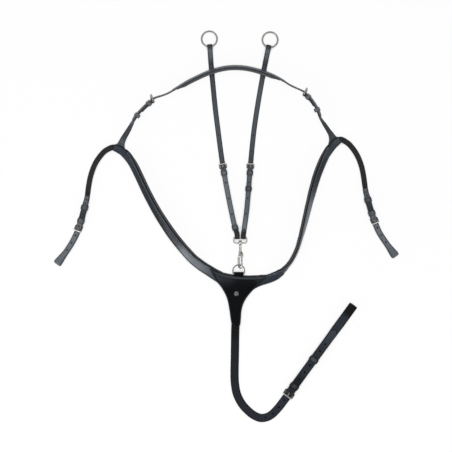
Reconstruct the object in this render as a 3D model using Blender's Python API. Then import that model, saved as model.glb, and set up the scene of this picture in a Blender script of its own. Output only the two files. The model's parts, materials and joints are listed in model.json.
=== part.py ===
# Hunting breastplate with a running martingale, laid out flat and seen from above.
# Sizes are in millimetres and become metres when a mesh is made.
# +X is right, +Y runs from the girth loop towards the withers, +Z is up, the table is z = 0.
# The origin is on the table under the middle of the chest piece.

import math
from bisect import bisect_right

import bmesh
import bpy
from mathutils import Matrix, Vector

MM = 0.001

# General
touch_gap = 0.3            # between pieces that touch
keeper_wall = 1.6
keeper_play = 0.6          # between a keeper and the straps in it
facet_sag = 0.15           # how far a flat facet may stray from a curved strap
facet_twist = 3.0          # most twist in one facet, in degrees
facet_length = 60.0
fold_slack = 0.3           # between a bar and the leather folded round it
lay_down_run = 26.0        # length over which a strap settles from a buckle to the table
leg_close_run = 6.0        # length over which the two legs of a fold close together

# Chest piece
backing_thick = 3.0
front_thick = 3.0
stud_radius = 6.0
stud_dome = 2.4
stud_post_radius = 1.6
stud_burr_radius = 4.0
stud_burr_thick = 1.2
stud_place = (0.0, 0.0)

# Breast straps
breast_ply = 3.2
breast_half = 10.0
breast_end_half = 8.4
breast_end_taper = 12.0
pad_thick = 5.5
pad_overhang = 5.0         # pad showing past the strap on the neck side
pad_start = 40.0           # bare length at the shoulder end
chest_lap = 15.4           # strap end past the end of its pad

# Shoulder, wither and saddle straps
light_ply = 2.2
wither_half = 7.75
band_half = 11.0
wither_pad_thick = 4.5
tab_flare_run = 22.0
tab_tuck = 7.0             # tab hidden under the edge of the breast strap
elastic_thick = 2.0
elastic_half = 6.5
elastic_tuck = 12.0
saddle_half = 6.9
saddle_gap = 8.0           # open height of the saddle loop

# Martingale
martingale_half = 6.2
ring_mean_radius = 20.0
ring_wire_radius = 2.25
ring_play = 1.0
ring_return = 38.0
ring_return_clear = 2.0    # the doubled strap runs on past the end of the lower leg
ring_rise_run = 16.0
ring_fall_run = 20.0
ring_step_run = 12.0
martingale_heel = 318.0    # from the ring to the buckle's heel bar
martingale_last_hole = 6.6  # from the billet's tip

# Girth strap
girth_ply = 3.2
girth_half = 10.3
girth_loop_ply = 2.6
girth_gap = 6.4            # open height of the girth loop
girth_open_run = 74.0      # length of the open part of the girth loop
girth_hole_pitch = 22.6
girth_start = 52.0         # from the origin down to the end held in the chest piece

# D ring and snap hook
d_centre_x = 6.0
d_bar_y = 52.7
d_half = 15.1
d_side = 7.2
d_wire_radius = 1.65
d_lean = 11.0
d_strap_half = 12.4
snap_x = 10.0
snap_z = 9.4
snap_turn = 58.0           # how far the hook is swivelled out of the table's plane
eye_half = 16.6
eye_height = 14.8
eye_wire_radius = 2.0
eye_corner = 3.2
eye_fold_slack = 0.9
eye_strap_gap = 3.0
boss_radius = 5.5
boss_half_length = 4.5
boss_cut = 62.0            # where the boss's round is cut off, in degrees from its middle
pin_radius = 2.3
pin_play = 0.3
pin_head_radius = 3.8
pin_head_thick = 2.4
shank_start = 5.2
shank_end = 25.0
shank_radius = 3.4
hook_wire_radius = 2.5
hook_half = 7.5
hook_bend_start = 36.0
hook_bowl = 57.0
hook_tip = 51.0
gate_pivot = (-6.5, 30.0)  # across and down from the swivel
gate_pin_radius = 1.2
gate_pin_play = 0.25
gate_thick = 3.0
gate_slot_play = 0.3
gate_cheek = 1.9
gate_tip_gap = 0.6
gate_half = 1.9
knob_place = (-11.0, 34.0)
knob_radius = 2.6
hook_hang = 7.5            # from the D ring's wire down to the hook's, middle to middle
snap_y = d_bar_y + (d_side + d_half) * math.cos(math.radians(d_lean)) + hook_bowl + hook_half - hook_hang

# Buckles: wire radius, length between the bars, lean of the frame, room beside the strap
MARTINGALE_BUCKLE = {"wire": 1.5, "length": 11.5, "lean": 20.0, "room": 1.1, "hole": 1.9, "fixed_u": 6.4}
WITHER_BUCKLE = {"wire": 1.5, "length": 16.5, "lean": 76.0, "room": 0.9, "hole": 1.9, "fixed_u": 6.8}
SADDLE_BUCKLE = {"wire": 1.5, "length": 15.0, "lean": 22.0, "room": 0.8, "hole": 2.0, "fixed_u": 7.4}
GIRTH_BUCKLE = {"wire": 1.8, "length": 15.2, "lean": 22.0, "room": 0.9, "hole": 2.3, "fixed_u": 11.8}
prong_thick = 2.0
prong_half = 1.4
prong_play = 0.2           # between the prong's eye and the heel bar
prong_overhang = 1.4
prong_slot_play = 0.4
prong_wrap = 160.0         # how far the prong's eye goes round below the bar
prong_slot = 3.3           # extra half length of the worn hole that the prong sits in

# Holes and keepers
hole_cut_low = -9.0        # reach of a hole's cutter below and above the heel bar
hole_cut_high = 14.0
saddle_hole_floor = 0.6    # the lower leg of the saddle strap isn't punched
martingale_hole_steps = range(-2, 5)
wither_hole_steps = range(-1, 3)
wither_hole_pitch = 22.0
saddle_hole_steps = range(-3, 4)
saddle_hole_pitch = 22.0
girth_hole_steps = range(-4, 8)
martingale_keeper = 12.0
wither_keeper = 10.0
saddle_keeper = 12.0
girth_keeper = 11.0
slide_play = 0.7           # a sliding keeper is looser than a sewn one
martingale_slide_left = 0.954    # share of the way from the sewn keeper to the billet's tip
martingale_slide_right = 0.216
wither_slide_left = 50.0
wither_slide_right = 47.0
saddle_slide = 43.0
girth_slide = 97.5

# Lengths along the straps
pad_thin_start = 95.0      # where the pad starts to thin, before its end in the chest piece
pad_thin_stop = 38.0       # where it has its last thickness
shoulder_return = 40.0
wither_tip = 72.0
band_taper = 20.0
saddle_core_end = 10.0
saddle_chape = 80.0
saddle_tip = 70.0
saddle_rise_run = 18.0
martingale_tip_gap = 13.0
eye_open_run = 10.0
joint_gap = 1.0            # between the ends of a strap that meet between its two legs
girth_held = 44.0
girth_tip = 198.0
girth_rise_run = 18.0
girth_loop_joint = 60.0
d_chape_length = 19.0
d_chape_close = 4.4
knob_thick = 5.0
gate_eye_radius = 3.4

# Breast straps: x, y, roll and rise from the shoulder to the chest
chest_rise = backing_thick - pad_thick
breast_left_points = (
    (-318.0, 380.5, 0, 0), (-303.5, 374.0, 2, 0), (-292.0, 366.0, 12, 0), (-283.5, 356.0, 34, 0),
    (-277.0, 346.5, 47, 0), (-269.0, 333.0, 51, 0), (-255.0, 304.5, 52, 0), (-238.0, 268.0, 51, 0),
    (-223.5, 239.5, 50, 0), (-208.0, 211.5, 47, 0), (-191.0, 184.0, 42, 0), (-168.5, 151.0, 36, 0),
    (-143.5, 119.5, 34, 0), (-117.0, 90.0, 28, 0), (-98.5, 74.5, 16, 0.5 * chest_rise),
    (-85.5, 65.0, 5, 0.86 * chest_rise), (-75.5, 58.5, 0, chest_rise), (-53.0, 43.5, 0, chest_rise),
    (-31.0, 30.0, 0, chest_rise))
breast_right_points = (
    (268.0, 400.5, 0, 0), (255.5, 390.0, -2, 0), (248.0, 382.0, -12, 0), (241.0, 372.0, -36, 0),
    (233.0, 358.5, -48, 0), (223.5, 337.0, -52, 0), (212.0, 307.5, -54, 0), (200.5, 269.5, -59, 0),
    (190.0, 230.5, -67, 0), (182.5, 199.5, -71, 0), (174.5, 168.5, -77, 0), (168.0, 145.5, -84, 0),
    (158.5, 115.0, -87, 0), (144.5, 86.5, -87, 0), (134.0, 73.0, -83, 0),
    (123.0, 61.5, -70, 0.15 * chest_rise),
    (111.5, 52.0, -42, 0.55 * chest_rise), (97.5, 43.5, -12, 0.93 * chest_rise), (86.0, 38.5, 0, chest_rise),
    (67.0, 32.5, 0, chest_rise), (48.0, 27.0, 0, chest_rise))

# Chest piece outline from the neckline round to the tail
backing_neckline = ((-12.0, 49.0), (18.0, 47.0))
backing_lap = 15.0
front_neckline = ((-69.0, 63.5), (-46.0, 51.5), (-24.0, 45.0), (0.0, 41.5), (23.0, 40.5), (50.0, 41.0),
                  (78.0, 43.0))
front_right_end = (83.0, 26.5)
front_left_end = (-53.5, 33.0)
chest_right = ((66.0, 21.0), (53.0, 15.0), (42.0, 8.0), (26.5, -11.0), (17.5, -28.0), (13.0, -46.0),
               (11.5, -66.0), (9.0, -83.0))
chest_left = ((-10.5, -82.0), (-14.5, -70.0), (-18.0, -43.5), (-25.0, -11.0), (-39.5, 16.5))
chest_tail = 91.5
filler_outline = ((-19.0, 28.0), (32.0, 28.0), (36.0, 7.0), (24.0, -11.0), (14.5, -28.0), (11.0, -44.0),
                  (10.5, -50.5), (-10.5, -50.5), (-14.0, -43.5), (-21.0, -11.0), (-31.0, 11.0))

# Wither strap and shoulder straps, from the left shoulder over the withers to the right
wither_heels = ((-216.8, 499.0), (175.8, 517.0))
band_ends = ((-172.0, 521.0), (131.0, 546.0))
wither_tabs = {"left": (14.5, 14.5), "right": (14.5, 18.5)}     # along the breast strap, and half width
# Wither and shoulder straps: x, y, roll, share of the tab's rise and share of the band's rise
wither_points = (
    (-296.5, 396.0, -4, 1, 0), (-290.5, 406.5, -28, 1, 0), (-284.5, 416.0, -32, 0.8, 0),
    (-278.5, 425.5, -40, 0.4, 0), (-272.0, 437.0, -58, 0, 0), (-265.5, 449.0, -77, 0, 0),
    (-256.5, 461.5, -78, 0, 0), (-245.5, 474.5, -78, 0, 0), (-233.5, 486.5, -78, 0, 0),
    (-216.8, 499.5, -78, 0, 0), (-191.5, 511.0, -81, 0, 0), (-175.5, 519.5, -82, 0, 0),
    (-160.0, 529.0, -81, 0, 1), (-129.5, 548.0, -80, 0, 1), (-103.0, 561.5, -79, 0, 1),
    (-75.0, 574.0, -77, 0, 1), (-46.5, 583.0, -75, 0, 1), (-22.5, 587.5, -75, 0, 1),
    (1.5, 588.5, -75, 0, 1), (25.5, 586.5, -75, 0, 1), (49.0, 581.5, -75, 0, 1),
    (72.0, 574.5, -76, 0, 1), (94.0, 566.0, -79, 0, 1), (110.5, 557.5, -81, 0, 1),
    (125.5, 548.5, -82, 0, 1), (140.5, 538.5, -82, 0, 1), (156.0, 529.0, -81, 0, 0),
    (172.5, 519.5, -79, 0, 0), (186.5, 508.5, -78, 0, 0), (196.0, 497.5, -78, 0, 0),
    (204.0, 485.0, -78, 0, 0), (210.0, 472.5, -78, 0, 0), (217.0, 455.0, -78, 0, 0),
    (222.5, 446.0, -70, 0, 0), (228.0, 438.0, -52, 0, 0), (234.5, 428.5, -45, 0.4, 0),
    (240.5, 419.5, -38, 0.8, 0), (247.0, 410.0, -8, 1, 0))


# Elastic and saddle straps from the shoulder to the loop: x, y, roll and share of the starting rise
saddle_left_bar = (-411.8, 163.0)
saddle_right_bar = (360.5, 183.0)
saddle_left_points = (
    (-320.0, 380.0, 0, 1.0), (-335.5, 374.0, 2, 1.0), (-347.0, 365.0, 6, 1.0), (-365.0, 340.5, 8, 1.0),
    (-376.5, 312.5, 10, 1.0), (-383.0, 283.5, 9, 0.8), (-388.0, 247.0, 6, 0.0), (-397.5, 210.5, 5, 0.0),
    (-405.0, 183.5, 5, 0.0), (-412.0, 163.0, 5, 0.0), (-422.5, 140.0, 3, 0.0), (-438.0, 114.5, 3, 0.0),
    (-456.0, 90.0, 8, 0.0), (-466.5, 76.0, 12, 0.0))
saddle_right_points = (
    (270.0, 400.5, 0, 1.0), (284.5, 394.0, 2, 1.0), (296.0, 384.5, 6, 1.0), (313.0, 360.5, 8, 1.0),
    (324.5, 332.0, 10, 1.0), (330.5, 303.0, 9, 0.8), (336.0, 264.0, 6, 0.0), (345.0, 230.0, 5, 0.0),
    (353.0, 203.5, 5, 0.0), (360.5, 183.0, 5, 0.0), (370.5, 159.5, 3, 0.0), (386.5, 134.5, 3, 0.0),
    (404.0, 110.0, 8, 0.0), (414.0, 96.0, 12, 0.0))

# Martingale straps from the ring towards the snap: x, y and share of the rise at the snap
martingale_left_points = (
    (-69.0, 641.8, 0), (-66.0, 597.0, 0), (-60.5, 537.0, 0), (-54.5, 477.5, 0), (-47.0, 418.0, 0),
    (-37.0, 343.5, 0), (-27.0, 284.5, 0), (-18.5, 240.0, 0), (-12.5, 210.5, 0.1), (-4.8, 176.0, 0.6),
    (1.4, 155.5, 1))
martingale_right_points = (
    (83.5, 640.0, 0), (74.5, 596.0, 0), (63.5, 537.0, 0), (53.5, 478.0, 0), (45.0, 418.5, 0),
    (37.5, 344.0, 0), (32.5, 284.0, 0), (29.0, 240.0, 0), (26.0, 209.5, 0.1), (21.8, 178.5, 0.6),
    (18.8, 157.0, 1))

# Girth strap from the chest piece round to the end of its loop
girth_bar_spot = (131.7, -266.5)
girth_points = (
    (-2.0, -74.0), (-3.0, -97.0), (-3.7, -142.0), (-4.2, -172.0), (-4.8, -202.0), (-4.0, -232.0),
    (1.5, -261.5), (15.0, -288.0), (35.0, -309.0), (48.0, -318.0), (62.5, -323.5), (77.5, -322.0),
    (90.5, -315.5), (101.5, -305.5), (112.0, -293.5), (121.0, -281.5), (164.5, -221.0), (218.0, -148.0),
    (277.0, -67.5), (304.6, -29.4))

LEATHER = ("black_leather", (0.028, 0.031, 0.036), 0.42, 0.0)
LINING = ("pad_leather", (0.016, 0.017, 0.019), 0.55, 0.0)
STRAP = ("strap_leather", (0.045, 0.052, 0.062), 0.38, 0.0)
WOVEN = ("elastic_webbing", (0.012, 0.012, 0.013), 0.85, 0.0)
STEEL = ("polished_steel", (0.62, 0.60, 0.57), 0.16, 1.0)


# Routes


def hermite(a, b, slope_a, slope_b, t):
    """Smooth value between a and b for t from 0 to 1."""
    u = 1.0 - t
    return a * u * u * (1 + 2 * t) + b * t * t * (3 - 2 * t) + slope_a * t * u * u - slope_b * t * t * u


def ease(t):
    """Soft start and soft end from 0 to 1."""
    return (1.0 - math.cos(math.pi * t)) / 2.0


def through(points, steps=8):
    """Smooth curve through 2D or 3D points, end points included."""
    points = [Vector(p) for p in points]
    gaps = [(b - a).length for a, b in zip(points, points[1:])]
    slopes = [(points[1] - points[0]) / gaps[0]]
    for i in range(1, len(points) - 1):
        slopes.append((points[i + 1] - points[i - 1]) / (gaps[i] + gaps[i - 1]))
    slopes.append((points[-1] - points[-2]) / gaps[-1])
    curve = []
    for i, gap in enumerate(gaps):
        for k in range(steps):
            curve.append(hermite(points[i], points[i + 1], slopes[i] * gap, slopes[i + 1] * gap, k / steps))
    curve.append(points[-1])
    return curve


class Route:
    """Centre line of a strap on the table.

    Each point is x, y, roll in degrees and rise in millimetres. A place on the strap is given by
    s along the route, n off its face and w across it. The route's height keeps a strap with the
    given reach beside and below it just on the table, plus the rise."""

    steps = 20

    def __init__(self, points, side_reach, low_reach):
        flat = through([(p[0], p[1]) for p in points], self.steps)
        self.places, self.rolls = [], []
        for i, spot in enumerate(flat):
            k = min(i // self.steps, len(points) - 2)
            t = ease(i / self.steps - k)
            roll = math.radians(points[k][2] + (points[k + 1][2] - points[k][2]) * t)
            rise = points[k][3] + (points[k + 1][3] - points[k][3]) * t
            height = rise + side_reach * abs(math.sin(roll)) + low_reach * abs(math.cos(roll))
            self.places.append(Vector((spot.x, spot.y, height)))
            self.rolls.append(roll)
        self.marks = [0.0]
        for a, b in zip(self.places, self.places[1:]):
            self.marks.append(self.marks[-1] + (b - a).length)
        self.length = self.marks[-1]
        self.frames = [self.axes(i) for i in range(len(self.places))]
        self.grid = self.facet_ends()

    def facet_ends(self):
        """Distances along the route where flat facets have to meet to follow it closely."""
        ends = [0]
        for i in range(2, len(self.places)):
            first = ends[-1]
            span = self.places[i] - self.places[first]
            sag = 0.0
            for place in self.places[first + 1:i]:
                out = place - self.places[first]
                sag = max(sag, (out - span * (out.dot(span) / span.length_squared)).length)
            twist = math.degrees(abs(self.rolls[i] - self.rolls[first]))
            if sag > facet_sag or twist > facet_twist or span.length > facet_length:
                ends.append(i - 1)
        return [self.marks[i] for i in ends] + [self.length]

    def between(self, low, high):
        """Facet ends between two distances, both included."""
        return [low] + [s for s in self.grid if low + 1.0 < s < high - 1.0] + [high]

    def axes(self, i):
        """Along, across and off-face directions at a sample."""
        last = len(self.places) - 1
        along = (self.places[min(i + 1, last)] - self.places[max(i - 1, 0)]).normalized()
        level = Vector((0, 0, 1)).cross(along).normalized()
        upright = along.cross(level)
        roll = self.rolls[i]
        across = level * math.cos(roll) + upright * math.sin(roll)
        return along, across, along.cross(across)

    def frame(self, s):
        inside = min(max(s, 0.0), self.length)
        i = min(max(bisect_right(self.marks, inside) - 1, 0), len(self.marks) - 2)
        t = (inside - self.marks[i]) / (self.marks[i + 1] - self.marks[i])
        axes = [a.lerp(b, t).normalized() for a, b in zip(self.frames[i], self.frames[i + 1])]
        place = self.places[i].lerp(self.places[i + 1], t) + axes[0] * (s - inside)
        return place, axes

    def point(self, s, n=0.0, w=0.0):
        place, (_, across, off) = self.frame(s)
        return place + across * w + off * n

    def nearest(self, x, y):
        """Distance along the route of the sample nearest to a place on the table."""
        spot = Vector((x, y))
        return min(zip(self.marks, self.places), key=lambda m: (m[1].to_2d() - spot).length)[0]


# Meshes


def loft(rings, closed=False):
    """Join rings of points into one skin, with end caps unless it closes on itself."""
    size = len(rings[0])
    verts = [point for ring in rings for point in ring]
    faces = []
    for i in range(len(rings) if closed else len(rings) - 1):
        a, b = i * size, (i + 1) % len(rings) * size
        for j in range(size):
            k = (j + 1) % size
            faces.append((a + j, a + k, b + j))
            faces.append((a + k, b + k, b + j))
    if not closed:
        faces.append(tuple(range(size)))
        faces.append(tuple(range((len(rings) - 1) * size, len(rings) * size)))
    return verts, faces


def together(meshes):
    """Several closed meshes as one list of points and faces."""
    verts, faces = [], []
    for more_verts, more_faces in meshes:
        start = len(verts)
        verts.extend(more_verts)
        faces.extend(tuple(start + i for i in face) for face in more_faces)
    return verts, faces


def strip(route, path, ply):
    """Flat strip of one thickness along a path of (s, n, half width).

    Wide faces are always split from the +w side at their lower s to the -w side at the higher one,
    so two plies that lie on each other keep their gap where the route twists."""
    last = len(path) - 1
    verts, faces = [], []
    for i, (s, n, half) in enumerate(path):
        s0, n0, _ = path[max(i - 1, 0)]
        s1, n1, _ = path[min(i + 1, last)]
        length = math.hypot(s1 - s0, n1 - n0)
        off_s = -(n1 - n0) / length * ply / 2
        off_n = (s1 - s0) / length * ply / 2
        for side, w in ((1, half), (1, -half), (-1, -half), (-1, half)):
            verts.append(route.point(s + side * off_s, n + side * off_n, w))
        if i == last:
            break
        a, b = 4 * i, 4 * i + 4
        ahead = path[i + 1][0] >= s
        for j, k in ((0, 1), (1, 2), (3, 2), (0, 3)):
            if ahead:
                faces.extend(((a + j, a + k, b + k), (a + j, b + k, b + j)))
            else:
                faces.extend(((a + j, a + k, b + j), (a + k, b + k, b + j)))
    faces.extend(((0, 1, 2, 3), (4 * last, 4 * last + 1, 4 * last + 2, 4 * last + 3)))
    return verts, faces


def run(route, knots, half):
    """Path through (s, n) knots: straight where n stays, eased where it changes."""
    path = []
    for (s0, n0), (s1, n1) in zip(knots, knots[1:]):
        if abs(n1 - n0) < 0.05:
            places = route.between(min(s0, s1), max(s0, s1))
        else:
            count = max(4, math.ceil(abs(s1 - s0) / 9.0))
            places = [min(s0, s1) + abs(s1 - s0) * k / count for k in range(count + 1)]
        if s1 < s0:
            places.reverse()
        for s in places[:-1]:
            path.append((s, n0 + (n1 - n0) * ease((s - s0) / (s1 - s0)), half))
    path.append((*knots[-1], half))
    return path


def fold(s, n, radius, start, sweep, half, steps=6):
    """Arc of a path round a bar at (s, n), angles in degrees from the s direction."""
    path = []
    for k in range(1, steps):
        angle = math.radians(start + sweep * k / steps)
        path.append((s + radius * math.cos(angle), n + radius * math.sin(angle), half))
    return path


def tip(path, lengths_and_shares):
    """Narrow the end of a path to a rounded point."""
    s_end, n_end, half = path[-1]
    way = 1 if s_end > path[-2][0] else -1
    kept = [p for p in path if (s_end - p[0]) * way > lengths_and_shares[0][0] + 0.5]
    for back, share in lengths_and_shares:
        kept.append((s_end - way * back, n_end, half * share))
    return kept


ROUND_TIP = ((9.0, 1.0), (4.5, 0.86), (1.5, 0.6), (0.0, 0.28))


def tube(points, ups, radii, sides, closed=False):
    """Round tube through points, with a guide direction at each."""
    last = len(points) - 1
    rings = []
    for i, point in enumerate(points):
        before = points[i - 1] if closed else points[max(i - 1, 0)]
        after = points[(i + 1) % len(points)] if closed else points[min(i + 1, last)]
        along = (after - before).normalized()
        side = along.cross(ups[i]).normalized()
        up = side.cross(along)
        radius = radii[i] if isinstance(radii, (list, tuple)) else radii
        ring = []
        for k in range(sides):
            angle = 2 * math.pi * (k + 0.5) / sides
            ring.append(point + side * radius * math.cos(angle) + up * radius * math.sin(angle))
        rings.append(ring)
    return loft(rings, closed)


def turned(centre, axis, guide, profile, sides):
    """Solid turned about an axis from (distance along, radius) pairs."""
    across = axis.cross(guide).normalized()
    other = axis.cross(across)
    rings = []
    for along, radius in profile:
        ring = []
        for k in range(sides):
            angle = 2 * math.pi * k / sides
            ring.append(centre + axis * along + (across * math.cos(angle) + other * math.sin(angle)) * radius)
        rings.append(ring)
    return loft(rings)


def prism(outline, low, high):
    """Upright plate from a flat outline."""
    return loft([[Vector((p[0], p[1], z)) for p in outline] for z in (low, high)])


def slotted_peg(route, s, low, high, radius, half_slot=0.0, sides=8):
    """Cutter through a strap's face: a round hole, or an oval one drawn out along the strap."""
    rings = []
    for n in (low, high):
        ring = []
        for k in range(sides):
            angle = 2 * math.pi * (k + 0.5) / sides
            stretch = half_slot if math.cos(angle) > 0 else -half_slot
            ring.append(route.point(s + stretch + radius * math.cos(angle), n, radius * math.sin(angle)))
        rings.append(ring)
    return loft(rings)


def block(route, s_range, n_range, half):
    """Box that follows a route."""
    rings = []
    for s in s_range:
        corners = ((n_range[0], -half), (n_range[0], half), (n_range[1], half), (n_range[1], -half))
        rings.append([route.point(s, n, w) for n, w in corners])
    return loft(rings)


# Nodes

materials = {}
root = None


def material(spec):
    """Material with a Principled shader, made once for each finish."""
    name, colour, roughness, metallic = spec
    if name not in materials:
        made = bpy.data.materials.new(name)
        made.use_nodes = True
        shader = made.node_tree.nodes["Principled BSDF"]
        shader.inputs["Base Color"].default_value = (*colour, 1.0)
        shader.inputs["Roughness"].default_value = roughness
        shader.inputs["Metallic"].default_value = metallic
        made.diffuse_color = (*colour, 1.0)
        materials[name] = made
    return materials[name]


def mesh_object(name, verts, faces, frame):
    """Object whose points are given in world millimetres and stored in its own frame."""
    back = frame.inverted()
    mesh = bpy.data.meshes.new(name)
    mesh.from_pydata([back @ (Vector(v) * MM) for v in verts], [], faces)
    mesh.update()
    obj = bpy.data.objects.new(name, mesh)
    obj.matrix_world = frame
    bpy.context.collection.objects.link(obj)
    return obj


def face_out(obj):
    """Turn every face outwards."""
    skin = bmesh.new()
    skin.from_mesh(obj.data)
    bmesh.ops.recalc_face_normals(skin, faces=skin.faces)
    skin.to_mesh(obj.data)
    skin.free()


def node(name, shape, finish, origin, axes=None, parent=None, smooth=False):
    """One piece of the breastplate as its own object, with its origin where it turns or starts."""
    frame = Matrix.Translation(Vector(origin) * MM)
    if axes:
        frame = frame @ Matrix(axes).transposed().to_4x4()
    obj = mesh_object(name, *shape, frame)
    face_out(obj)
    obj.data.materials.append(material(finish))
    holder = parent or root
    obj.parent = holder
    obj.matrix_parent_inverse = holder.matrix_world.inverted()
    if smooth:
        obj.data.shade_smooth()
        obj.data.set_sharp_from_angle(angle=math.radians(40))
    return obj


def shape_with(obj, shape, operation, label):
    """Cut a shape out of a piece, or join it on, with a Boolean that stays live."""
    tool = mesh_object(obj.name + "_" + label, *shape, obj.matrix_world.copy())
    face_out(tool)
    tool.hide_render = True
    tool.display_type = "WIRE"
    tool.parent = obj
    tool.matrix_parent_inverse = obj.matrix_world.inverted()
    change = obj.modifiers.new(label, "BOOLEAN")
    change.operation = operation
    change.object = tool
    change.solver = "EXACT"
    return obj


# Buckles and keepers


class Stack:
    """Levels of the plies where a billet lies over a strap folded round a buckle's heel bar.

    Levels are off-face distances from the heel bar. core is what lies between the two legs of the
    fold, and under is a further strap below them."""

    def __init__(self, buckle, carrier_ply, billet_ply, core=0.0, under=0.0):
        self.buckle = buckle
        wire = buckle["wire"]
        lean = math.radians(buckle["lean"])
        self.carrier_ply = carrier_ply
        self.billet_ply = billet_ply
        self.fold_radius = wire + fold_slack + carrier_ply / 2
        between = core + 2 * touch_gap if core else touch_gap
        self.leg = (between + carrier_ply) / 2
        self.over_heel = self.fold_radius + carrier_ply / 2 + touch_gap + billet_ply / 2
        self.over_legs = self.leg + carrier_ply / 2 + touch_gap + billet_ply / 2
        self.front_u = -buckle["length"] * math.cos(lean)
        self.front_n = buckle["length"] * math.sin(lean)
        under_bar = self.front_n - wire - touch_gap - billet_ply / 2
        self.under_front = min(under_bar, self.over_heel)
        self.low = -self.leg - carrier_ply / 2
        self.under_level = -self.fold_radius - carrier_ply / 2 - touch_gap - under / 2
        if under:
            self.low = self.under_level - under / 2
        self.high = self.over_legs + billet_ply / 2
        self.reach = -self.low + slide_play + keeper_wall


class Buckled:
    """Everything at one buckle: way is +1 when the strap that carries it runs on along the route."""

    def __init__(self, name, route, heel, way, stack, half):
        self.name, self.route, self.heel, self.way = name, route, heel, way
        self.stack, self.half = stack, half

    def s(self, u):
        return self.heel + self.way * u

    def frame_node(self):
        """Wire frame: heel bar, two sides and the front bar, with round corners."""
        buckle = self.stack.buckle
        wire = buckle["wire"]
        side = self.half + buckle["room"] + wire
        corner = 1.5 * wire
        lean = math.radians(buckle["lean"])
        length = buckle["length"]
        path = []
        for cx, cy, start in ((length - corner, side - corner, 0), (corner, side - corner, 90),
                              (corner, corner - side, 180), (length - corner, corner - side, 270)):
            for k in range(4):
                angle = math.radians(start + 30 * k)
                path.append((cx + corner * math.cos(angle), cy + corner * math.sin(angle)))
        points, ups = [], []
        for out, w in path:
            points.append(self.route.point(self.s(-out * math.cos(lean)), out * math.sin(lean), w))
            ups.append(self.route.frame(self.s(0))[1][2])
        place, axes = self.route.frame(self.heel)
        shape = tube(points, ups, wire, 8, closed=True)
        return node(self.name + "_buckle", shape, STEEL, place, axes, smooth=True)

    def tongue(self):
        """Tip of the prong and the point where its tongue meets the eye, as (u, n) pairs."""
        buckle = self.stack.buckle
        radius = self.eye_radius()
        lean = math.radians(buckle["lean"])
        reach = buckle["length"] + prong_overhang
        lift = buckle["wire"] + touch_gap + prong_thick / 2
        tip_u = lift * math.sin(lean) - reach * math.cos(lean)
        tip_n = lift * math.cos(lean) + reach * math.sin(lean)
        touch = math.atan2(tip_n, tip_u) - math.acos(radius / math.hypot(tip_u, tip_n))
        return (tip_u, tip_n), (radius * math.cos(touch), radius * math.sin(touch)), touch

    def eye_radius(self):
        return self.stack.buckle["wire"] + prong_play + prong_thick / 2

    def prong_node(self):
        """Prong wrapped round the heel bar, its tip on the front bar."""
        end, start, touch = self.tongue()
        radius = self.eye_radius()
        path = [(end[0], end[1], prong_half * 0.55)]
        for t in (0.12, 0.5, 1.0):
            path.append((end[0] + (start[0] - end[0]) * t, end[1] + (start[1] - end[1]) * t, prong_half))
        turn = touch + math.radians(prong_wrap)
        for k in range(1, 8):
            angle = touch - turn * k / 7
            path.append((radius * math.cos(angle), radius * math.sin(angle), prong_half))
        placed = [(self.s(u), n, half) for u, n, half in path]
        place, axes = self.route.frame(self.heel)
        shape = strip(self.route, placed, prong_thick)
        return node(self.name + "_prong", shape, STEEL, place, axes, smooth=True)

    def billet_level(self, u):
        """Level of the billet's middle at a distance from the heel bar."""
        stack = self.stack
        if u >= 0:
            t = ease(min(u / leg_close_run, 1.0))
            return stack.over_heel + (stack.over_legs - stack.over_heel) * t
        t = ease(min(u / stack.front_u, 1.0))
        return stack.over_heel + (stack.under_front - stack.over_heel) * t

    def hole_u(self):
        """Where the tongue goes through the billet."""
        end, start, _ = self.tongue()
        spots = []
        for k in range(41):
            spots.append((end[0] + (start[0] - end[0]) * k / 40, end[1] + (start[1] - end[1]) * k / 40))
        return min(spots, key=lambda spot: abs(spot[1] - self.billet_level(spot[0])))[0]

    def keeper_node(self, name, u, length, play=keeper_play, low=None):
        """Leather loop round the stack, from u to u + length."""
        stack = self.stack
        low = (stack.low if low is None else low) - play
        high = stack.high + play
        side = self.half + play
        corner = 0.8
        rings = []
        for at in (u, u + length):
            for grow in (keeper_wall, 0.0):
                ring = []
                for sign_n, sign_w in ((1, 1), (1, -1), (-1, -1), (-1, 1)):
                    n = high + grow if sign_n > 0 else low - grow
                    w = sign_w * (side + grow)
                    cut = corner + grow * 0.5
                    pair = [(n - sign_n * cut, w), (n, w - sign_w * cut)]
                    if sign_n * sign_w < 0:
                        pair.reverse()
                    ring.extend(self.route.point(self.s(at), n_, w_) for n_, w_ in pair)
                rings.append(ring)
        order = [rings[0], rings[2], rings[3], rings[1]]
        place, axes = self.route.frame(self.s(u + length / 2))
        return node(name, loft(order, closed=True), STRAP, place, axes)

    def carrier_slot(self, obj):
        """Slot in the fold for the prong's eye."""
        eye = self.stack.buckle["wire"] + prong_play + prong_thick
        front = self.stack.fold_radius + self.stack.carrier_ply
        sides = sorted((self.s(-front), self.s(eye + prong_slot_play + 0.6)))
        reach = self.stack.fold_radius + self.stack.carrier_ply
        cutter = block(self.route, sides, (-reach, reach), prong_half + prong_slot_play)
        return shape_with(obj, cutter, "DIFFERENCE", "prong_slot")

    def hole_cutters(self, pitch, steps, low=hole_cut_low):
        """Row of cutters for the billet's holes, the one on the prong drawn out along the strap."""
        radius = self.stack.buckle["hole"]
        cutters = []
        for k in steps:
            s = self.s(self.hole_u() + pitch * k)
            half_slot = prong_slot if k == 0 else 0.0
            cutters.append(slotted_peg(self.route, s, low, hole_cut_high, radius, half_slot))
        return cutters

    def holes(self, obj, pitch, steps, low=hole_cut_low):
        return shape_with(obj, together(self.hole_cutters(pitch, steps, low)), "DIFFERENCE", "holes")

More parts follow.
